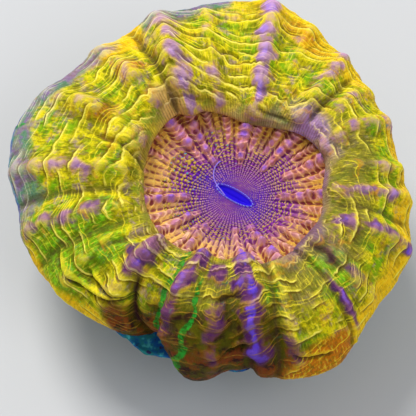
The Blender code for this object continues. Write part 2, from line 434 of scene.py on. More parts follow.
# Furrows between the lobes: azimuth at the lip and at the hem, depth, half-width and how far the
# flesh beside it hangs over it in millimetres, and the shares between which it runs.
FURROWS = (
    (124, 119, 2.2, 1.6, 0.0, 0.0, 0.95),
    (167, 150, 1.6, 1.2, 0.8, 0.0, 0.40),
    (310, 308, 1.1, 0.9, 0.3, 0.0, 1.10),
    (216, 202, 1.4, 1.8, 0.0, 0.0, 0.50),
    (221, 236, 4.6, 2.0, 0.6, 0.45, 1.20),
    (288, 283, 1.8, 1.6, 0.0, 0.0, 1.10),
    (343, 350, 1.2, 2.0, 0.0, 0.15, 0.95),
    (40, 47, 1.6, 1.6, 0.6, 0.15, 0.80),
    (317, 320, 2.6, 3.2, 0.6, 0.14, 0.50),
    (187, 182, 1.4, 2.2, 0.0, 0.10, 1.00),
    (204, 200, 1.2, 2.2, 0.0, 0.20, 1.00),
    (244, 243, 2.4, 2.4, 0.0, 0.86, 1.40),
    (275, 275, 2.2, 2.0, 0.0, 0.86, 1.40),
)

# Cross folds, where a lobe laps over the flesh outside it: azimuth of the middle, half-length in
# degrees, share at the middle, how much further out its left end lies, how far both ends turn
# back to the lip, depth, and overhang.
CROSS_FOLDS = (
    (216, 15, 0.80, -0.06, 0.10, 2.0, 1.8),
    (221, 9, 0.70, -0.02, 0.05, 1.6, 1.6),
    (268, 8, 0.80, -0.06, 0.02, 2.0, 1.0),
    (268, 7, 0.39, -0.02, -0.02, 0.7, 0.4),
    (294, 6, 0.86, 0.04, 0.02, 1.8, 0.8),
    (64, 11, 0.11, 0.02, 0.01, 0.8, 0.5),
    (91, 4, 0.43, 0.02, 0.02, 1.5, 0.8),
)


def furrows():
    """How far the furrows and folds sink the flesh, how far it laps over them, and their shade."""
    sink, lap, shade = (np.zeros_like(radius) for _ in range(3))
    for at_lip, at_hem, deep, half_width, overhang, start, end in FURROWS:
        off = aside(at_lip + turned(at_hem - at_lip) * share) + 0.5 * uneven(60, 6, 36)
        window = band(share, start - 0.06, start + 0.08, end - 0.12, end + 0.06)
        sink += deep * bell(off, half_width) * window
        shade = np.maximum(shade, bell(off, 0.45 * half_width) * window * min(1, deep / 3))
        lap += overhang * bell(np.abs(off) - 1.4, 1.4) * window * (off > 0)
    for centre, half_length, out, lean, turn_back, deep, overhang in CROSS_FOLDS:
        t = turned(azimuth - centre) / half_length
        whole = along[-HEM_ROWS][None, :]
        level = (out + lean * t - turn_back * t**2) * whole
        off = along - level + 0.4 * uneven(90, 5, 37)
        window = 1 - smooth(0.6, 1.1, np.abs(t))
        sink += deep * bell(off, 0.8) * window
        shade = np.maximum(shade, bell(off, 0.40) * window * min(1, deep / 1.2))
        lap += overhang * bell(off + 1.6, 1.3) * window * (off < 0)
    return sink, lap, shade


sink, lap, shade = furrows()

# Pleats: sharp upright crests that run round the coral a few millimetres apart, arch outwards
# over the ridges, and start and stop one by one. Finer creases run with them.
PLEAT_SPACING = 4.3
swell = uneven(20, 16, 1) + 0.55 * uneven(47, 7.5, 2)
crinkle = uneven(290, 1.7, 12)
pleat_phase = (
    along / PLEAT_SPACING
    + 0.60 * uneven(18, 14, 3)
    + 0.27 * uneven(48, 8, 4)
    + 0.14 * uneven(110, 4, 5)
    + 0.06 * crinkle
    + 3.0 * np.sin(np.radians(azimuth + 30))
    - 0.13 * spread * (1 - 2.0 * smooth(45, 20, np.abs(turned(azimuth - 264))))
    - 0.05 * rise
)
crease_phase = 3.0 * pleat_phase + 0.7 * uneven(60, 6, 7)
near_ridge = smooth(0.3, 2.2, spread)


def pleat_lines(phase, seed, eagerness, steep_side, gentle_side):
    """Millimetres from one pleat to the next, how strong the nearest one is, and the lift: the
    flesh rises gently to each crest and drops steeply outside it."""
    outwards = np.gradient(phase, axis=0) / np.gradient(along, axis=0)
    step = np.radians(360 / MANTLE_COLUMNS) * radius
    around = (np.roll(phase, -1, axis=1) - np.roll(phase, 1, axis=1)) / (2 * step)
    pitch = 1 / np.maximum(np.hypot(outwards, around), 0.08)
    shown = smooth(0.07, 0.16, share + 0.11 * left_side) * (1 - smooth(1.35, 1.80, share))

    def strength_of(number):
        whim = lumps(azimuth, number, 44, 1.0, seed) + 0.45 * lumps(azimuth, number, 120, 1.0, seed + 1)
        return smooth(-0.30, 0.50, whim + 0.40 * near_ridge + eagerness) * shown

    inner, outer = np.floor(phase), np.ceil(phase)
    climbing = np.clip(1 - (outer - phase) * pitch / gentle_side, 0, 1) ** 1.2
    falling = np.exp(-(((phase - inner) * pitch / steep_side) ** 1.4))
    lift = np.maximum(strength_of(outer) * climbing, strength_of(inner) * falling)
    return pitch, strength_of(np.round(phase)), lift


# The pleats are calmer on the low front, on the right inside the outer edge, and on the left.
left_side = smooth(36, 20, np.abs(turned(azimuth - 192)))
right_side = smooth(55, 30, np.abs(turned(azimuth - 345))) * (1 - 0.95 * smooth(0.55, 0.85, share))
calm = smooth(26, 12, np.abs(turned(azimuth - 263))) * smooth(0.35, 0.60, share)
calm = np.maximum(calm, 0.8 * right_side * smooth(0.12, 0.25, share))
calmer_inside = smooth(0.50, 0.35, share) * smooth(0.05, 0.20, share)
calm = np.maximum(calm, left_side * (0.35 + 0.35 * calmer_inside))
pleat_pitch, pleat_strength, crest_lift = pleat_lines(pleat_phase, 8, -0.10 - 0.55 * calm, 0.5, 3.6)
crease_pitch, crease_strength, crease_lift = pleat_lines(crease_phase, 16, -0.32 - 0.50 * calm, 0.3, 1.0)


def crests(phase, sharp):
    """Sharp crests at whole numbers of the phase, with round troughs between."""
    return np.maximum(1 - np.sqrt(np.sin(np.pi * phase) ** 2 + 0.004), 0) ** sharp


billow = np.abs(np.sin(np.pi * pleat_phase))
relief = (
    rise * (0.80 + 0.20 * billow) * (1 - 0.45 * smooth(0.80, 1.0, share))
    + (0.36 + 0.40 * near_ridge) * (1 - 0.35 * left_side) * crest_lift
    + 0.20 * crease_lift
    + 0.9 * swell * smooth(0.0, 0.2, share)
    - sink
    + lap
    + 0.10 * crests(crease_phase, 1.0) * smooth(0.02, 0.1, share)
    + 0.11 * crinkle
)
relief *= smooth(-0.05, 0.02, share) * (1 - 0.8 * smooth(1.2, 1.9, share))

skin = spun(azimuth, radius, height)
skin = skin + normals(skin) * relief[..., None]


def blurred(field, reach):
    """A field averaged over a square of cells; it closes on itself along its second axis."""
    side = 2 * reach + 1
    mean = sum(np.roll(field, k, axis=1) for k in range(-reach, reach + 1)) / side
    mean = np.pad(mean, ((reach, reach), (0, 0)), "edge")
    return sum(mean[k:k + len(field)] for k in range(side)) / side


def hollows(relief, near, far_lit, near_part):
    """How far a relief lies under what is near it and further off; negative where it stands proud."""
    under_near, under_far = (blurred(relief, reach) - relief for reach in (near, far_lit))
    return near_part * under_near + (1 - near_part) * under_far


hollow = hollows(relief, 3, 8, 0.6)


def add_skin(name, points, attributes):
    """A grid of points in millimetres, closed round its second axis, as a mesh with attributes;
    an end row that is a single place becomes a pole."""
    rows, columns = points.shape[:2]
    mesh = bpy.data.meshes.new(name)
    index = np.arange(rows * columns).reshape(rows, columns)
    after = np.roll(index, -1, axis=1)
    quads = np.stack([index[:-1], index[1:], after[1:], after[:-1]], axis=-1).reshape(-1, 4)
    mesh.vertices.add(rows * columns)
    mesh.vertices.foreach_set("co", (points.reshape(-1) * MM).astype(np.float32))
    mesh.loops.add(quads.size)
    mesh.loops.foreach_set("vertex_index", quads.reshape(-1).astype(np.int32))
    mesh.polygons.add(len(quads))
    mesh.polygons.foreach_set("loop_start", np.arange(0, quads.size, 4, dtype=np.int32))
    mesh.update(calc_edges=True)
    row, column = np.meshgrid(np.arange(rows - 1), np.arange(columns), indexing="ij")
    u = np.stack([column, column, column + 1, column + 1], axis=-1) / columns
    v = np.stack([row, row + 1, row + 1, row], axis=-1) / (rows - 1)
    layer = mesh.uv_layers.new(name="round_and_out")
    layer.data.foreach_set("uv", np.stack([u, v], axis=-1).reshape(-1).astype(np.float32))
    for key, values in attributes.items():
        mesh.attributes.new(key, "FLOAT", "POINT").data.foreach_set(
            "value", np.asarray(values, dtype=np.float32).reshape(-1)
        )
    poles = [row for row in (0, rows - 1) if np.ptp(points[row], axis=0).max() < 1e-6]
    if poles:
        welded = bmesh.new()
        welded.from_mesh(mesh)
        welded.verts.ensure_lookup_table()
        ends = [welded.verts[k] for row in poles for k in index[row]]
        bmesh.ops.remove_doubles(welded, verts=ends, dist=1e-7)
        welded.to_mesh(mesh)
        welded.free()
    mesh.shade_smooth()
    skin_object = bpy.data.objects.new(name, mesh)
    bpy.context.scene.collection.objects.link(skin_object)
    return skin_object


# Zones of colour on the mantle: azimuth, half-width in degrees, the shares it begins and ends at,
# and strength. Sunny is the bright orange-yellow outer band, the shaded brown front is brown flesh
# under painted shade, leaf the green lobes, veil the thin grey-lilac edge, bloom the mauve band along
# the lip, quiet the dull olive inner parts, and amber the rusty patches.
SUNNY = (
    (350, 50, 0.76, 1.3, 1.0), (62, 32, 0.66, 1.3, 0.7), (128, 12, 0.72, 1.1, 0.9),
    (210, 18, 0.88, 1.3, 0.9),
)
# The shaded brown front: brown flesh under painted shade, on the low front that faces away from the
# lamps.
SHADED_BROWN_FRONT = ((262, 25, 0.46, 1.4, 1.0), (236, 12, 0.72, 1.4, 0.9), (268, 14, 0.28, 0.60, 0.5))
LEAF = (
    (203, 16, 0.26, 0.94, 1.0), (180, 20, 0.25, 0.85, 0.15), (10, 10, 0.45, 0.75, 0.4),
    (316, 9, 0.22, 0.60, 0.8), (286, 5, 0.20, 0.50, 0.6),
)
VEIL = ((158, 32, 0.80, 1.3, 1.0), (104, 14, 0.84, 1.3, 1.0))
BLOOM = (
    (0, 180, -0.6, 0.10, 0.6), (350, 50, -0.6, 0.13, 0.85), (30, 24, -0.6, 0.24, 1.0),
    (80, 30, -0.6, 0.12, 0.7), (126, 6, -0.6, 0.22, 1.0), (320, 9, 0.15, 0.45, 0.4),
    (318, 22, -0.6, 0.18, 0.95), (298, 9, -0.6, 0.12, 0.7), (178, 16, -0.6, 0.08, 0.7),
)
QUIET = ((350, 50, 0.08, 0.58, 0.8), (300, 18, 0.10, 0.50, 0.9), (262, 30, 0.10, 0.60, 0.8))
AMBER = (
    (294, 14, 0.76, 1.3, 1.0), (266, 16, 0.88, 1.3, 0.6), (34, 26, 0.94, 1.3, 0.7),
    (152, 7, 0.24, 0.42, 0.6), (132, 6, 0.38, 0.58, 0.8), (66, 9, 0.70, 0.90, 0.6),
)


def zones(patches):
    """A mask made of soft windows round the coral and outwards, with wandering edges."""
    mask = np.zeros_like(radius)
    stray = 6 * uneven(30, 9, 71)
    drift = 0.06 * uneven(30, 9, 72)
    for centre, half_width, start, end, strength in patches:
        off = np.abs(turned(azimuth + stray * min(1, half_width / 15) - centre)) / half_width
        beside = 1 - smooth(0.6, 1.25, off) if half_width < 180 else 1.0
        out = share + drift
        soft = 0.35 * min(end - start, 0.3)
        inside = band(out, start - soft, start + soft, end - soft, end + soft)
        mask = np.maximum(mask, strength * beside * inside)
    return mask


# Bright green streaks between two ridges: azimuth at the lip and at the hem, the shares where they
# begin and end, and half-width at each end in millimetres.
STREAKS = (
    (241, 241, 0.0, 0.9, 0.6, 1.7),
    (256, 252, 0.25, 1.05, 0.4, 2.3),
    (160, 160, 0.9, 1.1, 0.4, 1.2),
)


def streaks():
    """A mask of the streaks, which wander and are wider in places."""
    mask = np.zeros_like(radius)
    for at_lip, at_hem, start, end, thin, thick in STREAKS:
        centre = at_lip + (at_hem - at_lip) * share + 1.6 * uneven(30, 6, 9)
        half_width = np.interp(share, (start, end), (thin, thick))
        half_width = half_width * (1 + 0.5 * uneven(70, 2.5, 10))
        off = np.abs(aside(centre)) / half_width
        inside = band(share, start - 0.06, start + 0.06, end, end + 0.1)
        mask = np.maximum(mask, inside * (1 - smooth(0.5, 1.1, off)))
    return mask


mantle_masks = {
    "violet": violet,
    "outline": outline,
    "hollow": hollow,
    "crease_phase": crease_phase,
    "crease_pitch": crease_pitch,
    "crease_strength": crease_strength,
    "pleat_phase": pleat_phase,
    "pleat_strength": pleat_strength,
    "pleat_pitch": pleat_pitch,
    "shade": shade,
    "share": share,
    "lip_stripes": (1 - smooth(0.10, 0.26, share)) * (1 - 0.8 * left_side),
    "sunny": zones(SUNNY),
    "shaded_brown_front": zones(SHADED_BROWN_FRONT),
    "leaf": zones(LEAF),
    "veil": zones(VEIL),
    "bloom": zones(BLOOM),
    "quiet": zones(QUIET),
    "amber": zones(AMBER),
    "streak": streaks(),
}
mantle = add_skin("mantle", skin, mantle_masks)


def tree_of(feeds):
    """The node tree that the first socket among some feeds belongs to."""
    return next(feed.id_data for feed in feeds if isinstance(feed, bpy.types.NodeSocket))


def put(kind, *feeds, **settings):
    """A node in its feeds' tree, with its settings made and its inputs, in order, joined or set."""
    tree = tree_of(feeds)
    node = tree.nodes.new(kind)
    for key, value in settings.items():
        setattr(node, key, value)
    wanted = [socket for socket in node.inputs if socket.enabled]
    for socket, feed in zip(wanted, feeds):
        if isinstance(feed, bpy.types.NodeSocket):
            tree.links.new(feed, socket)
        else:
            socket.default_value = feed
    return next(socket for socket in node.outputs if socket.enabled)


def maths(operation, *feeds):
    """The result of a sum on values."""
    return put("ShaderNodeMath", *feeds, operation=operation)


def times(first, second):
    return maths("MULTIPLY", first, second)


def scaled(value, factor, plus):
    """A value times a factor, plus another."""
    return maths("MULTIPLY_ADD", value, factor, plus)


def centred(value):
    """Noise about 0.5 brought about 0."""
    return maths("SUBTRACT", value, 0.5)


def ramp(value, low, high, to_low=0.0, to_high=1.0):
    """A smooth step of a value from low to high."""
    return put("ShaderNodeMapRange", value, low, high, to_low, to_high, interpolation_type="SMOOTHSTEP")


def blend(amount, first, second):
    """A mix of two colours."""
    tree = tree_of((amount, first, second))
    node = tree.nodes.new("ShaderNodeMix")
    node.data_type = "RGBA"
    for name, feed in (("Factor_Float", amount), ("A_Color", first), ("B_Color", second)):
        socket = next(s for s in node.inputs if s.identifier == name)
        if isinstance(feed, bpy.types.NodeSocket):
            tree.links.new(feed, socket)
        else:
            socket.default_value = (*feed, 1)
    return next(s for s in node.outputs if s.identifier == "Result_Color")


def lay(colour, amount, over, most=1.0):
    """A colour with another laid over it where an amount is high, up to a most."""
    if most < 1.0:
        amount = times(amount, most)
    return blend(amount, colour, over)


def noise(where, cell, detail, rough=0.5):
    """Noise about 0.5 with lumps of a given size in metres."""
    return put("ShaderNodeTexNoise", where, 1 / cell, detail, rough, noise_dimensions="3D")


def axes(place):
    """The X, Y and Z of a place or a direction, by name."""
    split = place.id_data.nodes.new("ShaderNodeSeparateXYZ")
    place.id_data.links.new(place, split.inputs[0])
    return split.outputs


def attribute(tree, name):
    """A mask that the skin's mesh carries."""
    node = tree.nodes.new("ShaderNodeAttribute")
    node.attribute_name = name
    return node.outputs["Fac"]


def new_paint(name, roughness, subsurface):
    """An empty flesh or stone material, its shader and its texture coordinates."""
    paint = bpy.data.materials.new(name)
    paint.use_nodes = True
    shader = paint.node_tree.nodes["Principled BSDF"]
    shader.inputs["Roughness"].default_value = roughness
    shader.inputs["Subsurface Weight"].default_value = subsurface
    shader.inputs["Subsurface Radius"].default_value = (1.0, 0.8, 0.5)
    shader.inputs["Subsurface Scale"].default_value = 0.6 * MM
    shader.inputs["Specular IOR Level"].default_value = 0.04
    coordinates = paint.node_tree.nodes.new("ShaderNodeTexCoord")
    return paint, shader, coordinates.outputs


def join_up(shader, colour, height=None, depth=1.0 * MM):
    """A shader's colour joined to it, and its fine relief of a depth in metres from a height."""
    tree = shader.id_data
    tree.links.new(colour, shader.inputs["Base Color"])
    if height is not None:
        bump = tree.nodes.new("ShaderNodeBump")
        bump.inputs["Distance"].default_value = depth
        tree.links.new(height, bump.inputs["Height"])
        tree.links.new(bump.outputs["Normal"], shader.inputs["Normal"])


def crest_mask(phase, width):
    """1 on the crest lines at whole numbers of a phase, 0 between them."""
    wave = maths("ABSOLUTE", maths("SINE", times(phase, math.pi)))
    return ramp(wave, width, 0.0)


def new_group(name, places, values, results):
    """An empty shader group with named vector and value inputs, and value outputs."""
    group = bpy.data.node_groups.new(name, "ShaderNodeTree")
    for key in places:
        group.interface.new_socket(key, in_out="INPUT", socket_type="NodeSocketVector")
    for key in values:
        group.interface.new_socket(key, in_out="INPUT", socket_type="NodeSocketFloat")
    for key in results:
        group.interface.new_socket(key, in_out="OUTPUT", socket_type="NodeSocketFloat")
    given, result = group.nodes.new("NodeGroupInput"), group.nodes.new("NodeGroupOutput")
    return group, given.outputs, result.inputs


def placed(group, feeds):
    """The outputs of a group that is placed in its feeds' tree with its own values."""
    tree = tree_of(feeds.values())
    node = tree.nodes.new("ShaderNodeGroup")
    node.node_tree = group
    for key, feed in feeds.items():
        if isinstance(feed, bpy.types.NodeSocket):
            tree.links.new(feed, node.inputs[key])
        else:
            node.inputs[key].default_value = feed
    return node.outputs


def build_pinstripes():
    """Fine stripes that run outwards, counted round the coral, from 0 to 1."""
    group, given, result = new_group("pinstripes", ("UV",), ("Count", "Wander"), ("Stripes",))
    per_turn = times(given["Count"], 2 * math.pi)
    turns = scaled(axes(given["UV"])["X"], per_turn, given["Wander"])
    stripes = scaled(maths("SINE", turns), 0.5, 0.5)
    group.links.new(stripes, result["Stripes"])
    return group


def build_flesh_grain():
    """The coarse and the fine unevenness of wet flesh, each about 0.5."""
    group, given, result = new_group(
        "flesh_grain", ("Where",), ("Mottle per metre", "Grain per metre"), ("Mottle", "Grain")
    )
    for name, detail, rough in (("Mottle", 4.0, 0.65), ("Grain", 3.0, 0.6)):
        feeds = (given["Where"], given[name + " per metre"], detail, rough)
        value = put("ShaderNodeTexNoise", *feeds, noise_dimensions="3D")
        group.links.new(value, result[name])
    return group


pinstripes = build_pinstripes()
flesh_grain = build_flesh_grain()


def stripes_round(uv, count, wander):
    """Stripes that run outwards, a count of them to a turn, shifted by a wander in radians."""
    return placed(pinstripes, {"UV": uv, "Count": count, "Wander": wander})["Stripes"]


def grain_of(where, mottle_cell, grain_cell):
    """The flesh's mottle and grain, with lumps of given sizes in metres."""
    per_metre = {"Mottle per metre": 1 / mottle_cell, "Grain per metre": 1 / grain_cell}
    found = placed(flesh_grain, {"Where": where, **per_metre})
    return found["Mottle"], found["Grain"]


def paint_mantle():
    """Patchy green, yellow and rusty flesh, with violet ridges and bright crests on its pleats."""
    paint, shader, coordinates = new_paint("mantle_flesh", 0.50, 0.12)
    where, uv = coordinates["Object"], coordinates["UV"]
    broad = noise(where, 14 * MM, 2.0)
    middle = noise(where, 4.5 * MM, 3.0)
    patchy = noise(where, 7.0 * MM, 4.0, 0.65)
    mottle, grain = grain_of(where, 1.9 * MM, 0.8 * MM)
    elsewhere = put("ShaderNodeVectorMath", where, (0.3, 0.1, 0.2), operation="ADD")
    rosy = noise(elsewhere, 6.0 * MM, 4.0, 0.65)
    mask = {name: attribute(paint.node_tree, name) for name in mantle_masks}
    share, shaded_brown_front = mask["share"], mask["shaded_brown_front"]
    broken = maths("ADD", centred(patchy), times(centred(mottle), 0.8))
    at = axes(where)
    front = ramp(at["Y"], 0.02, -0.035)

    def ragged(name, low, high, by=0.6):
        """A mask with its edge broken up by noise."""
        return ramp(scaled(broken, by, mask[name]), low, high)

    def past_line(name):
        """Millimetres outwards from the nearest crest, negative inside it."""
        phase = mask[name + "_phase"]
        return times(maths("SUBTRACT", phase, maths("ROUND", phase)), mask[name + "_pitch"])

    past_pleat = past_line("pleat")
    off_pleat = maths("ABSOLUTE", past_pleat)
    off_crease = maths("ABSOLUTE", past_line("crease"))

    # Fibres are noise that is drawn out from the lip to the hem.
    flat = put("ShaderNodeVectorMath", where, (1, 1, 0), operation="MULTIPLY")
    facing = axes(put("ShaderNodeVectorMath", flat, operation="NORMALIZE"))
    drawn_out = (times(facing["X"], 80.0), times(facing["Y"], 80.0), times(share, 14.0))
    fibre = noise(put("ShaderNodeCombineXYZ", *drawn_out), 1.0, 3.0, 0.6)

    # The ground colours, zone by zone.
    colour = blend(ramp(broad, 0.38, 0.58), (0.36, 0.36, 0.003), (0.20, 0.42, 0.003))
    colour = lay(colour, ramp(middle, 0.43, 0.60), (0.74, 0.64, 0.004))
    colour = lay(colour, ramp(patchy, 0.54, 0.68), (0.72, 0.36, 0.010), 0.7)
    colour = lay(colour, ramp(rosy, 0.53, 0.66), (0.42, 0.24, 0.30), 0.7)
    colour = lay(colour, ragged("quiet", 0.2, 0.9), (0.22, 0.19, 0.03), 0.85)
    colour = lay(colour, ragged("sunny", 0.25, 0.85), (1.0, 0.60, 0.006))
    under_rim = ramp(share, 0.98, 1.15)
    colour = lay(colour, times(under_rim, ramp(patchy, 0.54, 0.42)), (0.36, 0.38, 0.010), 0.8)
    colour = lay(colour, times(under_rim, ramp(rosy, 0.53, 0.64)), (0.46, 0.20, 0.16), 0.7)
    leafy = blend(ramp(mottle, 0.48, 0.60), (0.13, 0.32, 0.003), (0.20, 0.58, 0.008))
    colour = lay(colour, ragged("leaf", 0.25, 0.80, 1.2), leafy, 0.85)
    colour = lay(colour, ragged("amber", 0.25, 0.85), (0.60, 0.19, 0.006))
    fewer_spots = ramp(mask["sunny"], 0.3, 0.8, 0.6, 0.32)
    colour = lay(colour, times(ramp(mottle, 0.50, 0.34), fewer_spots), (0.15, 0.15, 0.004))
    colour = lay(colour, ramp(fibre, 0.54, 0.68), (1.0, 0.80, 0.06), 0.55)
    fewer_fibres = ramp(mask["sunny"], 0.3, 0.8, 0.62, 0.34)
    colour = lay(colour, times(ramp(fibre, 0.47, 0.33), fewer_fibres), (0.12, 0.08, 0.02))
    low_down = ramp(share, 0.60, 0.90)
    # Painted shade on the front, near black and dark olive, with rusty brown flesh low down.
    shaded_brown = blend(ramp(middle, 0.42, 0.58), (0.028, 0.004, 0.008), (0.085, 0.078, 0.002))
    shaded_brown = lay(shaded_brown, times(low_down, ramp(rosy, 0.46, 0.56)), (0.30, 0.055, 0.003))
    colour = lay(colour, ragged("shaded_brown_front", 0.15, 0.85), shaded_brown, 0.97)
    # The lip band is painted lighter on the far side and darker on the front: painted light and shade.
    far_lit = ramp(at["Y"], 0.0, 0.018)
    lilac = blend(front, blend(far_lit, (0.34, 0.17, 0.28), (0.52, 0.30, 0.60)), (0.22, 0.12, 0.20))
    tan = blend(far_lit, (0.40, 0.26, 0.07), (0.78, 0.50, 0.14))
    lilac = lay(lilac, ramp(broad, 0.44, 0.56), (0.46, 0.33, 0.10), 0.75)
    lip_tone = blend(ramp(at["X"], 0.012, -0.004), lilac, tan)
    colour = lay(colour, ragged("bloom", 0.05, 1.0, 0.45), lip_tone)
    veiled = blend(ramp(rosy, 0.44, 0.56), (0.10, 0.24, 0.17), (0.24, 0.15, 0.34))
    veiled = lay(veiled, ramp(middle, 0.50, 0.62), (0.24, 0.27, 0.24))
    colour = lay(colour, ragged("veil", 0.2, 0.9, 1.2), veiled, 0.9)
    # Painted blue rim light along the veiled outer edge.
    rim_light = times(ramp(share, 0.96, 1.0), ramp(share, 1.05, 1.01))
    rim_light = times(rim_light, ramp(mask["veil"], 0.2, 0.7))
    rim_light_blue = blend(ramp(patchy, 0.42, 0.58), (0.05, 0.08, 0.60), (0.10, 0.38, 0.60))
    colour = lay(colour, rim_light, rim_light_blue, 0.55)

    # Fine dark stripes that run out from the lip.
    wander = times(middle, 9.0)
    near_lip = mask["lip_stripes"]
    stripes = stripes_round(uv, 230, wander)
    faint = scaled(near_lip, 0.28, ramp(rosy, 0.45, 0.6, 0.0, 0.25))
    colour = lay(colour, times(ramp(stripes, 0.55, 0.05), faint), (0.14, 0.09, 0.01))

    # The violet of ridges and knuckles, with a blush round it and a rusty line round the knuckles.
    # The front copy of each colour is darker: partly painted shade on the front, which faces away from
    # the lamps.
    blush = blend(front, (0.60, 0.30, 0.16), (0.24, 0.08, 0.09))
    dusky = blend(front, (0.35, 0.18, 0.35), (0.105, 0.020, 0.14))
    vivid = blend(front, (0.36, 0.20, 0.70), (0.14, 0.06, 0.80))
    vivid_here = ramp(scaled(middle, 1.2, mask["violet"]), 1.18, 1.56)
    violet = blend(vivid_here, dusky, vivid)
    colour = lay(colour, ragged("violet", 0.04, 0.34, 0.6), blush, 0.65)
    colour = lay(colour, ragged("violet", 0.14, 0.52, 1.0), violet, 0.92)
    rim = times(ramp(mask["outline"], 0.3, 0.9), ramp(patchy, 0.38, 0.6, 0.1, 0.6))
    rim = times(rim, ramp(shaded_brown_front, 0.6, 0.1, 0.15, 1.0))
    colour = lay(colour, rim, (0.70, 0.31, 0.02))

    # Shade on the low front, in the hollows and outside each pleat.
    colour = lay(colour, times(low_down, shaded_brown_front), (0.030, 0.010, 0.014), 0.40)
    sunk = ramp(mask["hollow"], 0.02, 0.34)
    on_violet = ramp(mask["violet"], 0.15, 0.5)
    deep_colour = blend(on_violet, (0.085, 0.085, 0.003), (0.06, 0.02, 0.12))
    colour = lay(colour, sunk, deep_colour, 0.50)
    under = times(ramp(past_pleat, 0.05, 0.30), ramp(past_pleat, 1.3, 0.4))
    colour = lay(colour, times(under, mask["pleat_strength"]), (0.14, 0.07, 0.002), 0.65)

    # Bright lines on whatever stands proud: the pleats' crests, the creases and the high places. They
    # are partly the flesh's own pale crests and partly painted highlight.
    # The pink's front copy is darker: painted shade.
    pink = blend(front, (0.80, 0.48, 0.62), (0.50, 0.20, 0.30))
    bright = blend(on_violet, (1.0, 0.82, 0.03), pink)
    bright = lay(bright, mask["bloom"], (0.66, 0.42, 0.30), 0.8)
    bright = lay(bright, mask["veil"], (0.60, 0.66, 0.70), 0.8)
    # On the shaded brown front the bright lines are painted darker brown: painted shade.
    bright = lay(bright, ramp(shaded_brown_front, 0.15, 0.6), (0.42, 0.22, 0.02), 0.95)
    thread = lay(bright, ramp(shaded_brown_front, 0.5, 0.1, 0.0, 0.35), (1.0, 0.95, 0.30))
    green = blend(ramp(mottle, 0.35, 0.6), (0.012, 0.10, 0.006), (0.015, 0.36, 0.03))
    colour = lay(colour, ragged("streak", 0.25, 0.95, 1.8), green, 0.85)
    # Painted highlight on the high places.
    proud = ramp(mask["hollow"], -0.12, -0.60)
    brighter = ramp(shaded_brown_front, 0.6, 0.1, 0.10, 0.40)
    colour = lay(colour, times(proud, brighter), bright)
    glow = times(ramp(past_pleat, -1.6, -0.1), ramp(past_pleat, 0.3, 0.0))
    glow = times(times(glow, mask["pleat_strength"]), ramp(mask["leaf"], 0.1, 0.6, 1.0, 0.3))
    colour = lay(colour, times(glow, brighter), bright)
    crease = times(ramp(off_crease, 0.24, 0.06), mask["crease_strength"])
    colour = lay(colour, times(crease, ramp(mottle, 0.35, 0.6, 0.3, 1.0)), bright, 0.75)
    unevenly_off = scaled(centred(patchy), 1.3, off_pleat)
    crest = times(ramp(unevenly_off, 0.38, 0.12), mask["pleat_strength"])
    crest = times(crest, ramp(mottle, 0.30, 0.55, 0.5, 1.0))
    # The crests are dimmer on the shaded brown front: painted shade.
    crest = times(crest, ramp(shaded_brown_front, 0.8, 0.2, 0.40, 1.0))
    colour = lay(colour, crest, thread, 0.92)
    colour = lay(colour, mask["shade"], (0.05, 0.012, 0.02), 0.9)

    # A blue glint on the lip's edge at the right.
    edge = times(ramp(share, -0.09, -0.05), ramp(share, 0.01, -0.02))
    edge = times(edge, ramp(at["X"], 0.016, 0.024))
    colour = lay(colour, times(edge, ramp(mottle, 0.45, 0.55)), (0.20, 0.30, 0.95), 0.8)
    grained = scaled(mottle, 0.55, times(grain, 0.40))
    height = maths("ADD", times(stripes, times(near_lip, 0.06)), grained)
    join_up(shader, colour, scaled(crest, 0.08, height))
    mantle.data.materials.append(paint)


paint_mantle()
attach(mantle, "root")
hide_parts("polyp")

# ---------------------------------------------------------------------------------------------
# The oral disc: the thin skin stretched over the septa inside the lip. Each septum lifts a row of
# cross-ribbed papillae that runs from the lip towards the mouth and dies out half-way.
# ---------------------------------------------------------------------------------------------
DISC_COLUMNS = 800
DISC_ROWS = 118
SPOKES = 72
MOUTH = (0.3, 1.3, LIP - 8.4)
MOUTH_HALF = (6.9, 2.15)
MOUTH_TURN = -33

# A row of papillae stands over each septum, and the septa are evenly spaced about the mouth. The
# strong rows, named by their bearing in degrees, are taller and reach further in.
FIRST_ROW = -2
ROW_SPACING = 12
STRONG_ROWS = (-2, 22, 46, 82, 118, 130, 190, 214, 238, 274, 298)


def papilla_rows():
    """For each row: bearing at the lip, lean inwards, inner end, height, half-width, violet."""
    draw = np.random.default_rng(51)
    rows = []
    for at in range(FIRST_ROW, FIRST_ROW + 360, ROW_SPACING):
        strong = at in STRONG_ROWS
        lean = 5 * math.cos(math.radians(at - 100)) - 3 + draw.uniform(-2, 2)
        inner = draw.uniform(0.36, 0.52) if strong else draw.uniform(0.52, 0.80)
        high = draw.uniform(2.6, 3.3) if strong else draw.uniform(0.9, 2.0)
        if not strong and 95 < at < 185:
            inner, high = inner + 0.12, 0.6 * high
        wide = draw.uniform(1.9, 2.5) if strong else draw.uniform(1.1, 1.6)
        tint = draw.uniform(0.6, 0.9) if strong else draw.uniform(0.1, 0.45)
        rows.append((at + draw.uniform(-2.5, 2.5), lean, inner, high, wide, tint))
    return rows


def papillae(rows):
    """Papillae along the rows: bearing, share, height, half-width, half-length and violet."""
    draw = np.random.default_rng(52)
    found = []
    for at, lean, inner, high, wide, tint in rows:
        out = 1.0
        while out > inner + 0.06:
            gap = draw.uniform(0.10, 0.17)
            grown = 0.5 + 0.5 * (out - inner) / (1.05 - inner)
            if draw.random() < 0.75:
                found.append((
                    at + lean * (1.05 - out) + draw.uniform(-1.2, 1.2),
                    out,
                    0.95 * high * grown * draw.uniform(0.35, 1.3),
                    wide * grown * draw.uniform(0.80, 1.15),
                    13.0 * gap * draw.uniform(0.75, 1.05),
                    min(1.0, tint * draw.uniform(0.5, 1.5)),
                ))
            out -= gap
    return found


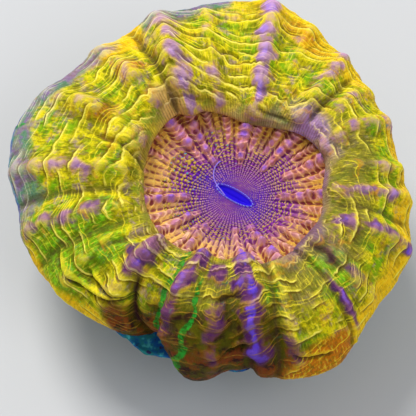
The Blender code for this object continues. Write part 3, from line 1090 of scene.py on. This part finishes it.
def lip_reach(bearing):
    """Distance from the mouth's centre to the lip's edge along bearings in radians."""
    reach = np.full_like(bearing, 28.0)
    for _ in range(12):
        x, y = MOUTH[0] + reach * np.cos(bearing), MOUTH[1] + reach * np.sin(bearing)
        wanted = station(1, np.degrees(np.arctan2(y, x)))
        reach += wanted - np.hypot(x, y)
    return reach


def mouth_reach(bearing, long_half, short_half):
    """Distance from the mouth's centre to an ellipse along its turn, along bearings in radians."""
    a = bearing - math.radians(MOUTH_TURN)
    return 1 / np.hypot(np.cos(a) / long_half, np.sin(a) / short_half)


bearing = np.arange(DISC_COLUMNS) * 2 * math.pi / DISC_COLUMNS
to_lip = lip_reach(bearing)
from_mouth = mouth_reach(bearing, *MOUTH_HALF)
steps_out = np.linspace(0, 1, DISC_ROWS)[:, None]
distance = from_mouth + (to_lip + 5.5 - from_mouth) * steps_out
disc_share = distance / to_lip
bearing = np.broadcast_to(bearing, distance.shape)
degrees = np.degrees(bearing)

# The disc climbs from the mouth's foot to the lip, most steeply at the front.
front = smooth(60, 20, np.abs(turned(degrees - 272)))
climb = smooth(0.1, 1.1, disc_share)
disc_height = MOUTH[2] + 0.2 + (3.4 + 2.4 * front) * climb * disc_share
disc_rise, disc_violet, disc_edge, row_mask, rib_bend = (np.zeros_like(distance) for _ in range(5))
for at, lean, inner, high, half_width, tint in papilla_rows():
    inside = band(disc_share, inner - 0.06, inner + 0.16, 1.05, 1.15)
    grown = 0.55 + 0.45 * np.clip((disc_share - inner) / (1.05 - inner), 0, 1)
    off = np.radians(turned(degrees - at - lean * (1.05 - disc_share))) * distance
    off = (off + 0.35 * lumps(degrees, distance, 70, 3, 24)) / (half_width * grown)
    crest = bell(off, 1, 2.2) * inside * grown
    disc_rise += 0.52 * high * crest
    row_mask = np.maximum(row_mask, crest)
    rib_bend += np.clip(off**2, 0, 2.5) * (np.abs(off) < 1.6) * inside
    disc_violet = np.maximum(disc_violet, 0.4 * tint * bell(off, 0.5) * inside)
for centre, out, high, half_width, half_length, tint in papillae(papilla_rows()):
    x = np.radians(turned(degrees - centre)) * distance
    y = distance - out * to_lip[column_at(centre, DISC_COLUMNS)]
    reach = np.sqrt((x / half_width) ** 2 + (y / half_length) ** 2)
    disc_rise += high * bell(reach, 1, 2.4)
    disc_violet = np.maximum(disc_violet, tint * bell(reach, 0.90, 2.4))
    disc_edge = np.maximum(disc_edge, bell(reach - 1.05, 0.22))

rib_phase = (
    distance / (0.75 + 0.6 * climb)
    - 0.35 * rib_bend
    + 0.5 * lumps(degrees, distance, 60, 5, 21)
)
ribs = crests(rib_phase, 1.0)
valley = 1 - np.clip(row_mask * 1.4, 0, 1)
disc_relief = (
    disc_rise
    + 0.50 * ribs * smooth(0.25, 0.6, disc_share) * (0.30 + 0.55 * (1 - valley))
    + 0.7 * lumps(degrees, distance, 44, 4, 22) * smooth(0.3, 0.7, disc_share)
    - 0.20 * np.cos(bearing * SPOKES) * smooth(0.2, 0.5, disc_share)
)
disc_relief *= 1 - smooth(1.08, 1.16, disc_share)
disc_points = spun(degrees, distance, disc_height) + (*MOUTH[:2], 0)
disc_points = disc_points + normals(disc_points) * disc_relief[..., None]

disc_masks = {
    "share": disc_share,
    "violet": disc_violet,
    "row": row_mask,
    "edge": disc_edge,
    "hollow": hollows(disc_relief, 2, 6, 0.5),
    "beyond_mouth": 0.5 + 0.5 * np.cos(2 * (bearing - math.radians(MOUTH_TURN))),
    "rib_phase": rib_phase,
}
oral_disc = add_skin("oral_disc", disc_points, disc_masks)


def paint_disc():
    """Violet round the mouth, pink and gold towards the lip, with dark spokes and grooves."""
    paint, shader, coordinates = new_paint("disc_flesh", 0.45, 0.12)
    where, uv = coordinates["Object"], coordinates["UV"]
    broad = noise(where, 9 * MM, 2.0)
    middle = noise(where, 3.0 * MM, 3.0)
    mottle, grain = grain_of(where, 1.5 * MM, 0.7 * MM)
    mask = {name: attribute(paint.node_tree, name) for name in disc_masks}

    outwards = scaled(centred(broad), 0.40, mask["share"])
    inmost = blend(mask["beyond_mouth"], (0.22, 0.05, 0.34), (0.06, 0.012, 0.46))
    colour = lay(inmost, ramp(outwards, 0.26, 0.58), (0.24, 0.03, 0.32))
    colour = lay(colour, ramp(outwards, 0.58, 0.95), (0.72, 0.36, 0.06))
    golden = times(ramp(mottle, 0.50, 0.64), ramp(outwards, 0.50, 0.85, 0.10, 0.85))
    colour = lay(colour, golden, (1.0, 0.64, 0.07))
    at = axes(where)
    sunlit = ramp(maths("ADD", at["X"], at["Y"]), -0.006, -0.026)
    colour = lay(colour, times(sunlit, ramp(outwards, 0.50, 0.80)), (1.0, 0.62, 0.16), 0.55)

    # The rows of papillae: pink flesh, more golden to the right and the front.
    ridge = ramp(scaled(centred(mottle), 0.5, mask["row"]), 0.15, 0.60)
    fleshy = blend(ramp(middle, 0.40, 0.60), (1.0, 0.44, 0.13), (0.92, 0.36, 0.60))
    fleshy = lay(fleshy, ramp(broad, 0.52, 0.64), (0.96, 0.54, 0.12), 0.6)
    fleshy = lay(fleshy, ramp(at["X"], 0.008, 0.020), (0.96, 0.50, 0.16), 0.5)
    fleshy = lay(fleshy, ramp(at["Y"], -0.004, -0.018), (1.0, 0.60, 0.34), 0.5)
    fleshy = lay(fleshy, sunlit, (1.0, 0.72, 0.38), 0.6)
    colour = lay(colour, ridge, fleshy, 0.9)

    # Dark spokes in the troughs between the septa, and grooves between the cross-ribs.
    spokes = stripes_round(uv, SPOKES, maths("SUBTRACT", centred(middle), math.pi / 2))
    dark_spoke = times(ramp(spokes, 0.45, 0.05), maths("SUBTRACT", 1.0, ridge))
    inside = ramp(mask["share"], 0.95, 0.5, 0.25, 0.85)
    colour = lay(colour, times(dark_spoke, inside), (0.08, 0.012, 0.15))
    rib = crest_mask(mask["rib_phase"], 0.55)
    groove = maths("SUBTRACT", 1.0, crest_mask(mask["rib_phase"], 0.95))
    colour = lay(colour, times(groove, ridge), (0.28, 0.03, 0.10), 0.65)
    # Painted shade in the disc's hollows.
    hollow_shade = blend(ramp(outwards, 0.55, 0.85), (0.12, 0.014, 0.14), (0.20, 0.018, 0.03))
    colour = lay(colour, ramp(mask["hollow"], 0.02, 0.26), hollow_shade, 0.88)
    gilt = times(ramp(mask["edge"], 0.3, 0.9), ramp(middle, 0.4, 0.6, 0.1, 0.5))
    colour = lay(colour, gilt, (0.78, 0.36, 0.05))
    rib_colour = blend(ridge, (1.0, 0.64, 0.12), (1.0, 0.56, 0.48))
    rib_strength = times(rib, ramp(mask["share"], 0.30, 0.55, 0.2, 0.7))
    rib_strength = times(rib_strength, ramp(mottle, 0.38, 0.6, 0.35, 1.0))
    colour = lay(colour, rib_strength, rib_colour)
    # Painted highlight on the papillae and other high places.
    colour = lay(colour, ramp(mask["hollow"], -0.10, -0.80), (1.0, 0.52, 0.50), 0.55)
    torn = scaled(centred(mottle), 0.9, mask["violet"])
    colour = lay(colour, ramp(torn, 0.12, 0.50), (0.62, 0.24, 0.42), 0.7)
    colour = lay(colour, ramp(torn, 0.45, 1.0), (0.34, 0.14, 0.70), 0.95)
    ribbed = scaled(rib, 0.14, times(grain, 0.20))
    join_up(shader, colour, maths("ADD", times(mottle, 0.30), ribbed))
    oral_disc.data.materials.append(paint)


paint_disc()
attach(oral_disc, "root")
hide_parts("polyp")

# ---------------------------------------------------------------------------------------------
# The mouth: a smooth blue slit with a raised lip, let into the middle of the disc. Its throat
# goes down and closes on itself.
# ---------------------------------------------------------------------------------------------
MOUTH_COLUMNS = 240

# Rings over the mouth's lip and into its throat, in millimetres: how much wider than the slit, how
# high over the lip's foot, and how frilled.
MOUTH_RINGS = (
    (0.30, -1.2, 0.0), (0.28, 0.00, 0.4), (0.16, 0.30, 1.0), (0.00, 0.42, 1.0),
    (-0.16, 0.30, 0.6), (-0.30, 0.00, 0.2), (-0.42, -0.35, 0.0), (-0.70, -0.62, 0.0),
    (-1.10, -0.80, 0.0), (-1.50, -0.95, 0.0), (-1.80, -1.10, 0.0),
)


def mouth_points():
    """Rings of the mouth from outside its lip, over it and down the throat to a point."""
    around = np.arange(MOUTH_COLUMNS) * 2 * math.pi / MOUTH_COLUMNS
    frill = 0.10 * np.sin(around * 34) + 0.05 * np.sin(around * 57)
    rings = []
    for grow, up, frilled in MOUTH_RINGS:
        reach = mouth_reach(around, *(half + grow for half in MOUTH_HALF)) + frill * frilled
        level = 0.25 + up + 0.6 * frill * frilled
        rings.append(spun(np.degrees(around), reach, level) + MOUTH)
    low = rings[-1].copy()
    low[:, 2] -= 0.6
    middle = low.mean(axis=0)
    rings.append(middle + (low - middle) * 0.5)
    rings.append(np.broadcast_to(middle, low.shape))
    return np.array(rings)[::-1]


mouth_grid = mouth_points()
out_of_throat = np.repeat(np.linspace(0, 1, len(mouth_grid)), MOUTH_COLUMNS)
mouth = add_skin("mouth", mouth_grid, {"lip": out_of_throat})


def paint_mouth():
    """Deep blue, with paler beads round the lip."""
    paint, shader, coordinates = new_paint("mouth_flesh", 0.30, 0.1)
    lip = attribute(paint.node_tree, "lip")
    spots_round = stripes_round(coordinates["UV"], 46, 0.0)
    colour = blend(ramp(lip, 0.45, 0.62), (0.022, 0.006, 0.62), (0.12, 0.05, 0.66))
    rim = times(ramp(lip, 0.60, 0.78), ramp(spots_round, 0.3, 0.8))
    colour = blend(times(rim, 0.8), colour, (0.30, 0.40, 0.85))
    join_up(shader, colour)
    mouth.data.materials.append(paint)


paint_mouth()
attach(mouth, "root")
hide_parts("polyp")

# ---------------------------------------------------------------------------------------------
# The pearls: tiny gold beads of flesh that stand in single file along the septa round the mouth,
# round on the left and short bars on the right.
# ---------------------------------------------------------------------------------------------
# Distances from the mouth's centre between which the pearls stand, in millimetres.
FIRST_PEARL = 4.6
LAST_PEARL = 24

# Bearing in degrees, distance from the mouth's centre and half-length in millimetres.
BIG_PEARLS = ((141, 19, 0.85), (143, 16, 0.7), (149, 20, 0.6))


def pearl_seeds():
    """Places, spans and turns of the pearls, in metres and radians."""
    dice = np.random.default_rng(11)
    places, spans, turns = [], [], []
    for spoke in range(SPOKES):
        straight = (spoke + 0.5 + dice.uniform(-0.06, 0.06)) * 2 * math.pi / SPOKES
        out = FIRST_PEARL + dice.uniform(0, 1.2)
        while out < LAST_PEARL:
            angle = straight + dice.normal(0, 0.006)
            column = column_at(math.degrees(angle), DISC_COLUMNS)
            row = int(np.searchsorted(distance[:, column], out))
            left = smooth(0.2, 0.9, math.cos(angle - 2.75))
            step = (0.34 + 0.035 * out) * (1 + 0.35 * left * smooth(8.0, 15.0, out))
            room = disc_share[row, column] < 0.74 + 0.14 * math.cos(angle - 2.3)
            clear = out > from_mouth[column] + 1.6 and disc_rise[row, column] < 0.35
            if room and clear and dice.random() < 0.93:
                gap = 2 * math.pi * out / SPOKES
                barred = (1 - left) * smooth(7.0, 10.0, out)
                size = dice.uniform(0.75, 1.15)
                half_across = gap * (0.20 + 0.16 * barred + 0.11 * left) * size
                half_along = step * (0.36 - 0.11 * barred) * size
                point = disc_points[row, column] + (0, 0, 0.03)
                places.append(point * MM)
                spans.append((half_along * MM, half_across * MM, 0.35 * half_along * MM))
                turns.append((0, 0, angle + dice.normal(0, 0.12)))
            out += step * dice.uniform(0.9, 1.15)
    for angle, out, half in BIG_PEARLS:
        column = column_at(angle, DISC_COLUMNS)
        row = int(np.searchsorted(distance[:, column], out))
        places.append(disc_points[row, column] * MM)
        spans.append((half * MM, half * 0.9 * MM, half * 0.6 * MM))
        turns.append((0, 0, math.radians(angle)))
    return places, spans, turns


def bead_tree(name, subdivisions):
    """Geometry nodes that set a bead on every point, spanned and turned by its attributes."""
    tree = bpy.data.node_groups.new(name, "GeometryNodeTree")
    face = tree.interface
    face.new_socket("Points", in_out="INPUT", socket_type="NodeSocketGeometry")
    face.new_socket("Material", in_out="INPUT", socket_type="NodeSocketMaterial")
    face.new_socket("Fullness", in_out="INPUT", socket_type="NodeSocketFloat")
    face.new_socket("Beads", in_out="OUTPUT", socket_type="NodeSocketGeometry")
    given, result = tree.nodes.new("NodeGroupInput"), tree.nodes.new("NodeGroupOutput")

    def named(key):
        node = tree.nodes.new("GeometryNodeInputNamedAttribute")
        node.data_type = "FLOAT_VECTOR"
        node.inputs["Name"].default_value = key
        return node.outputs["Attribute"]

    bead = tree.nodes.new("GeometryNodeMeshIcoSphere")
    bead.inputs["Radius"].default_value = 1.0
    bead.inputs["Subdivisions"].default_value = subdivisions
    full = tree.nodes.new("ShaderNodeVectorMath")
    full.operation = "SCALE"
    tree.links.new(named("span"), full.inputs["Vector"])
    tree.links.new(given.outputs["Fullness"], full.inputs["Scale"])
    place = tree.nodes.new("GeometryNodeInstanceOnPoints")
    tree.links.new(given.outputs["Points"], place.inputs["Points"])
    tree.links.new(bead.outputs["Mesh"], place.inputs["Instance"])
    tree.links.new(named("turn"), place.inputs["Rotation"])
    tree.links.new(full.outputs["Vector"], place.inputs["Scale"])
    real = tree.nodes.new("GeometryNodeRealizeInstances")
    tree.links.new(place.outputs["Instances"], real.inputs["Geometry"])
    soft = tree.nodes.new("GeometryNodeSetShadeSmooth")
    tree.links.new(real.outputs["Geometry"], soft.inputs["Geometry"])
    coat = tree.nodes.new("GeometryNodeSetMaterial")
    tree.links.new(soft.outputs["Geometry"], coat.inputs["Geometry"])
    tree.links.new(given.outputs["Material"], coat.inputs["Material"])
    tree.links.new(coat.outputs["Geometry"], result.inputs["Beads"])
    return tree


def add_beads(name, seeds, tree, paint, fullness):
    """The beads of a tree on given seeds, as one finished mesh object."""
    places, spans, turns = seeds
    mesh = bpy.data.meshes.new(name + "_seeds")
    mesh.from_pydata([tuple(place) for place in places], [], [])
    for key, values in (("span", spans), ("turn", turns)):
        layer = mesh.attributes.new(key, "FLOAT_VECTOR", "POINT")
        layer.data.foreach_set("vector", np.array(values, dtype=np.float32).reshape(-1))
    holder = bpy.data.objects.new(name + "_seeds", mesh)
    bpy.context.scene.collection.objects.link(holder)
    modifier = holder.modifiers.new("beads", "NODES")
    modifier.node_group = tree
    for socket in tree.interface.items_tree:
        if socket.in_out == "INPUT" and socket.name == "Material":
            modifier[socket.identifier] = paint
        if socket.in_out == "INPUT" and socket.name == "Fullness":
            modifier[socket.identifier] = fullness
    evaluated = holder.evaluated_get(bpy.context.evaluated_depsgraph_get())
    finished = bpy.data.meshes.new_from_object(evaluated)
    finished.name = name
    bpy.data.objects.remove(holder)
    beads = bpy.data.objects.new(name, finished)
    bpy.context.scene.collection.objects.link(beads)
    return beads


def pearl_paint():
    """Gold with a few teal flecks, browner to the right and mauve near the mouth."""
    paint, shader, coordinates = new_paint("pearl_flesh", 0.35, 0.1)
    where = coordinates["Object"]
    tint = noise(where, 2.5 * MM, 2.0)
    colour = blend(ramp(tint, 0.35, 0.65), (0.34, 0.20, 0.03), (0.56, 0.38, 0.05))
    fleck = noise(where, 1.3 * MM, 0.0)
    colour = blend(ramp(fleck, 0.68, 0.74), colour, (0.08, 0.32, 0.42))
    at = axes(where)
    aside_x, aside_y = (maths("SUBTRACT", at[key], MOUTH[k] * MM) for k, key in enumerate("XY"))
    away = maths("SQRT", maths("ADD", times(aside_x, aside_x), times(aside_y, aside_y)))
    right = ramp(at["X"], -4 * MM, 8 * MM)
    colour = blend(times(right, 0.6), colour, (0.58, 0.34, 0.14))
    near = ramp(away, 16 * MM, 8 * MM)
    colour = blend(times(near, 0.85), colour, (0.42, 0.16, 0.44))
    join_up(shader, colour)
    return paint


pearls = add_beads("pearls", pearl_seeds(), bead_tree("beads_on_points", 2), pearl_paint(), 1.0)
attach(pearls, "root")
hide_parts("polyp")

# ---------------------------------------------------------------------------------------------
# The filament: one thin violet thread of the polyp's own tissue, let out of the mouth's far end
# and lying in a bend on the disc.
# ---------------------------------------------------------------------------------------------
FILAMENT_HALF = 0.22
FILAMENT_SIDES = 12

# Points from the mouth's centre: right, away, and height over the disc, in millimetres.
FILAMENT = (
    (-3.0, 0.2, -0.6), (-4.3, 1.6, 0.35), (-5.9, 4.0, 0.25), (-6.8, 6.6, 0.25), (-6.6, 9.6, 0.3),
    (-5.4, 11.6, 0.3), (-4.4, 12.6, 0.25),
)


def filament_points():
    """Rings along the thread, which rounds off at both ends."""
    path = np.array([(MOUTH[0] + x, MOUTH[1] + y) for x, y, _ in FILAMENT])
    lift = np.array([up for _, _, up in FILAMENT])
    t = np.linspace(0, len(FILAMENT) - 1, 90)
    flat = through(path, t)
    up = np.interp(t, np.arange(len(FILAMENT)), lift)
    x, y = flat[:, 0] - MOUTH[0], flat[:, 1] - MOUTH[1]
    angle, out = np.arctan2(y, x) % (2 * math.pi), np.hypot(x, y)
    column = np.round(angle / (2 * math.pi) * DISC_COLUMNS).astype(int) % DISC_COLUMNS
    level = np.array([
        np.interp(o, distance[:, c], disc_points[:, c, 2]) for o, c in zip(out, column)
    ])

    # It leaves the mouth level, and bridges the grooves of the disc.
    level[:14] = level[14]
    level = np.convolve(np.pad(level, 4, "edge"), np.ones(9) / 9, "valid")
    line = np.column_stack([flat, level + up])
    along_line = np.gradient(line, axis=0)
    along_line /= np.linalg.norm(along_line, axis=1, keepdims=True)
    sideways = np.cross(along_line, (0, 0, 1.0))
    sideways /= np.linalg.norm(sideways, axis=1, keepdims=True)
    above = np.cross(sideways, along_line)
    half = FILAMENT_HALF * np.minimum(1, np.sqrt(np.maximum(0, np.minimum(t, t[-1] - t)) / 0.25))
    round_ = (np.arange(FILAMENT_SIDES) * 2 * math.pi / FILAMENT_SIDES)[None, :, None]
    ring = np.cos(round_) * sideways[:, None] + np.sin(round_) * above[:, None]
    return line[:, None] + ring * half[:, None, None]


filament = add_skin("filament", filament_points(), {})
thread_flesh, thread_shader, _ = new_paint("filament_flesh", 0.35, 0.1)
thread_shader.inputs["Base Color"].default_value = (0.30, 0.20, 0.75, 1)
filament.data.materials.append(thread_flesh)
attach(filament, "root")
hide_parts("polyp")

# ---------------------------------------------------------------------------------------------
# The edge flesh: the teal and green underside of the polyp, a thinner skin that runs from under
# the hem down over the cup. It shows past the hem at the front, where the lobes part.
# ---------------------------------------------------------------------------------------------
EDGE_COLUMNS = 480
EDGE_ROWS = 72

# Where it lies on the cup: radius and depth under the lip plane, in millimetres.
EDGE_ON_CUP = ((38.0, 20.5), (34.6, 25.5), (31.6, 30.5), (30.2, 31.3))


def edge_points():
    """The skin's rows, from under the hem out to its wavy edge and back down over the cup."""
    round_ = np.arange(EDGE_COLUMNS) * 360 / EDGE_COLUMNS
    outline, droop = (station(k, round_) for k in (3, 5))
    hem = LIP - droop
    shows = 0.80 * bell(turned(round_ - 237), 18, 4) + 0.55 * bell(turned(round_ - 270), 9)
    wave = np.sin(np.radians(round_ * 17)) + 0.6 * np.sin(np.radians(round_ * 29 + 40))
    reach = outline - 13 + 14.5 * np.clip(shows, 0, 1) + 0.8 * wave
    knots = (
        (outline - 20, hem + 5.0), (reach - 3.0, hem + 3.4), (reach, hem + 1.8 + 0.5 * wave),
        (reach - 0.6, hem + 0.4 + 0.6 * wave), (reach - 3.5, hem - 0.8 + 0.4 * wave),
        (0.5 * (reach + 38), hem - 0.6),
        *((np.full_like(reach, out), LIP - under) for out, under in EDGE_ON_CUP),
    )
    fine = section(knots, EDGE_ROWS)
    skin_points = spun(round_[None], fine[:, :, 0].T, fine[:, :, 1].T)
    round_, down = np.meshgrid(round_, np.linspace(0, 40, EDGE_ROWS))
    rough = 0.7 * lumps(round_, down, 60, 4, 41) + 0.35 * lumps(round_, down, 140, 1.8, 42)
    return skin_points + normals(skin_points) * rough[..., None]


edge_flesh = add_skin("edge_flesh", edge_points(), {})


def paint_edge():
    """Deep blue and green-blue patches with teal and dark flecks."""
    paint, shader, coordinates = new_paint("edge_flesh_skin", 0.45, 0.1)
    where = coordinates["Object"]
    patch = noise(where, 6 * MM, 3.0, 0.6)
    fleck = noise(where, 2.2 * MM, 2.0)
    colour = blend(ramp(patch, 0.40, 0.60), (0.010, 0.10, 0.36), (0.02, 0.20, 0.20))
    colour = blend(ramp(fleck, 0.54, 0.70), colour, (0.06, 0.40, 0.42))
    colour = blend(ramp(fleck, 0.42, 0.32), colour, (0.03, 0.03, 0.10))
    join_up(shader, colour)
    edge_flesh.data.materials.append(paint)


paint_edge()
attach(edge_flesh, "root")
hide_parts("polyp")

# ---------------------------------------------------------------------------------------------
# The stony cup: one piece of aragonite that the polyp laid down, a ribbed cone sawn off flat below.
# Its ribs carry rows of small blunt teeth; its top is a shallow bowl with thin upright walls.
# ---------------------------------------------------------------------------------------------
CUP_COLUMNS = 576
CUT_RADIUS = 20.0
RIM_RADIUS = 43.0
RIM = 42.0
RIBS = 48
LOWEST_TOOTH = 2.0
HIGHEST_TOOTH = 28.0

# The bowl inside the rim: share of the rim's radius, and height in millimetres.
BOWL = (
    (0.97, 42.6), (0.93, 42.2), (0.80, 38.6), (0.66, 36.0), (0.55, 34.2), (0.30, 31.3), (0.12, 30.0),
    (0.0, 29.8),
)


def on_cup(round_, out, level):
    """A place on a ring of the cup, which is round at the cut and oval at the rim."""
    oval = 0.05 * level / RIM * np.cos(np.radians(2 * (round_ - 150)))
    return spun(round_, out * (1 + oval), level)


def cup_wall(up):
    """Radius of the cup's wall at a share of its height."""
    return CUT_RADIUS + (RIM_RADIUS - CUT_RADIUS) * np.interp(
        up, (0, 0.20, 0.43, 0.62, 0.84, 1.0), (0, 0.10, 0.28, 0.50, 0.78, 1.0)
    )


def cup_points():
    """Rings from the middle of the cut, up the ribbed wall, over the rim and down into the bowl."""
    round_ = np.arange(CUP_COLUMNS) * 360 / CUP_COLUMNS
    main_rib = crests(RIBS * round_ / 720, 1.0) + 0.55 * crests(RIBS * round_ / 720 + 0.5, 1.0)
    thin = crests(RIBS * round_ / 360, 0.8)
    rings = []
    for out in (0.0, 0.15, 0.35, 0.55, 0.75, 0.90, 0.98):
        rings.append(on_cup(round_, CUT_RADIUS * out + 0 * round_, 0 * round_))
    for up in np.linspace(0.0, 1.0, 56):
        grown = smooth(-0.1, 0.25, up)
        growth_line = 0.25 * np.sin(up * 40 + 0.8 * np.sin(np.radians(round_ * 3)))
        rough = 0.30 * lumps(round_, 0 * round_ + up * RIM, 90, 2.0, 51)
        proud = (0.9 * main_rib + 0.35 * thin) * grown + (growth_line + rough) * grown - 0.3
        level = max(up * RIM, 0.25 if up > 0 else 0.0)
        rings.append(on_cup(round_, cup_wall(up) + proud, level + 0 * round_))
    for out, level in BOWL:
        stand = 2.2 * (main_rib + 0.5 * thin) * smooth(0.05, 0.8, out)
        drop = 1.2 if out < 0.96 else 0.6
        rings.append(on_cup(round_, RIM_RADIUS * out + 0 * round_, level + stand * 0.5 - drop))
    rings[-1] = np.broadcast_to(rings[-1].mean(axis=0), rings[-1].shape)
    return np.array(rings)[::-1]


stony_cup = add_skin("stony_cup", cup_points(), {})


def tooth_seeds():
    """Places, spans and turns of the teeth up every rib, in metres and radians."""
    dice = np.random.default_rng(61)
    places, spans, turns = [], [], []
    for rib in range(RIBS):
        angle = 360 * rib / RIBS
        level = LOWEST_TOOTH + dice.uniform(0, 0.8)
        while level < HIGHEST_TOOTH:
            up = level / RIM
            proud = 0.9 * (1.0 if rib % 2 == 0 else 0.55) - 0.25
            middle = on_cup(np.array(angle), cup_wall(up) + proud, np.array(level))
            places.append(middle * MM)
            half = dice.uniform(0.30, 0.50)
            spans.append((half * 1.2 * MM, half * 0.8 * MM, half * MM))
            turns.append((0, 0, math.radians(angle)))
            level += dice.uniform(0.95, 1.4)
    return places, spans, turns


def stone_paint():
    """Chalky stone, with a dark teal film of algae towards the rim."""
    paint, shader, coordinates = new_paint("coral_stone", 0.85, 0.0)
    where = coordinates["Object"]
    patch = noise(where, 9 * MM, 3.0, 0.6)
    speck = noise(where, 0.9 * MM, 3.0, 0.7)
    colour = blend(ramp(patch, 0.35, 0.65), (0.46, 0.44, 0.38), (0.26, 0.34, 0.32))
    colour = blend(ramp(axes(where)["Z"], 0.010, 0.030), colour, (0.08, 0.22, 0.24))
    colour = blend(ramp(speck, 0.45, 0.25, 0.0, 0.5), colour, (0.12, 0.13, 0.12))
    join_up(shader, colour, speck, 0.4 * MM)
    return paint


stone = stone_paint()
stony_cup.data.materials.append(stone)
rib_teeth = add_beads("rib_teeth", tooth_seeds(), bead_tree("teeth_on_points", 1), stone, 1.0)
for piece in (stony_cup, rib_teeth):
    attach(piece, "root")
    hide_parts("corallum")
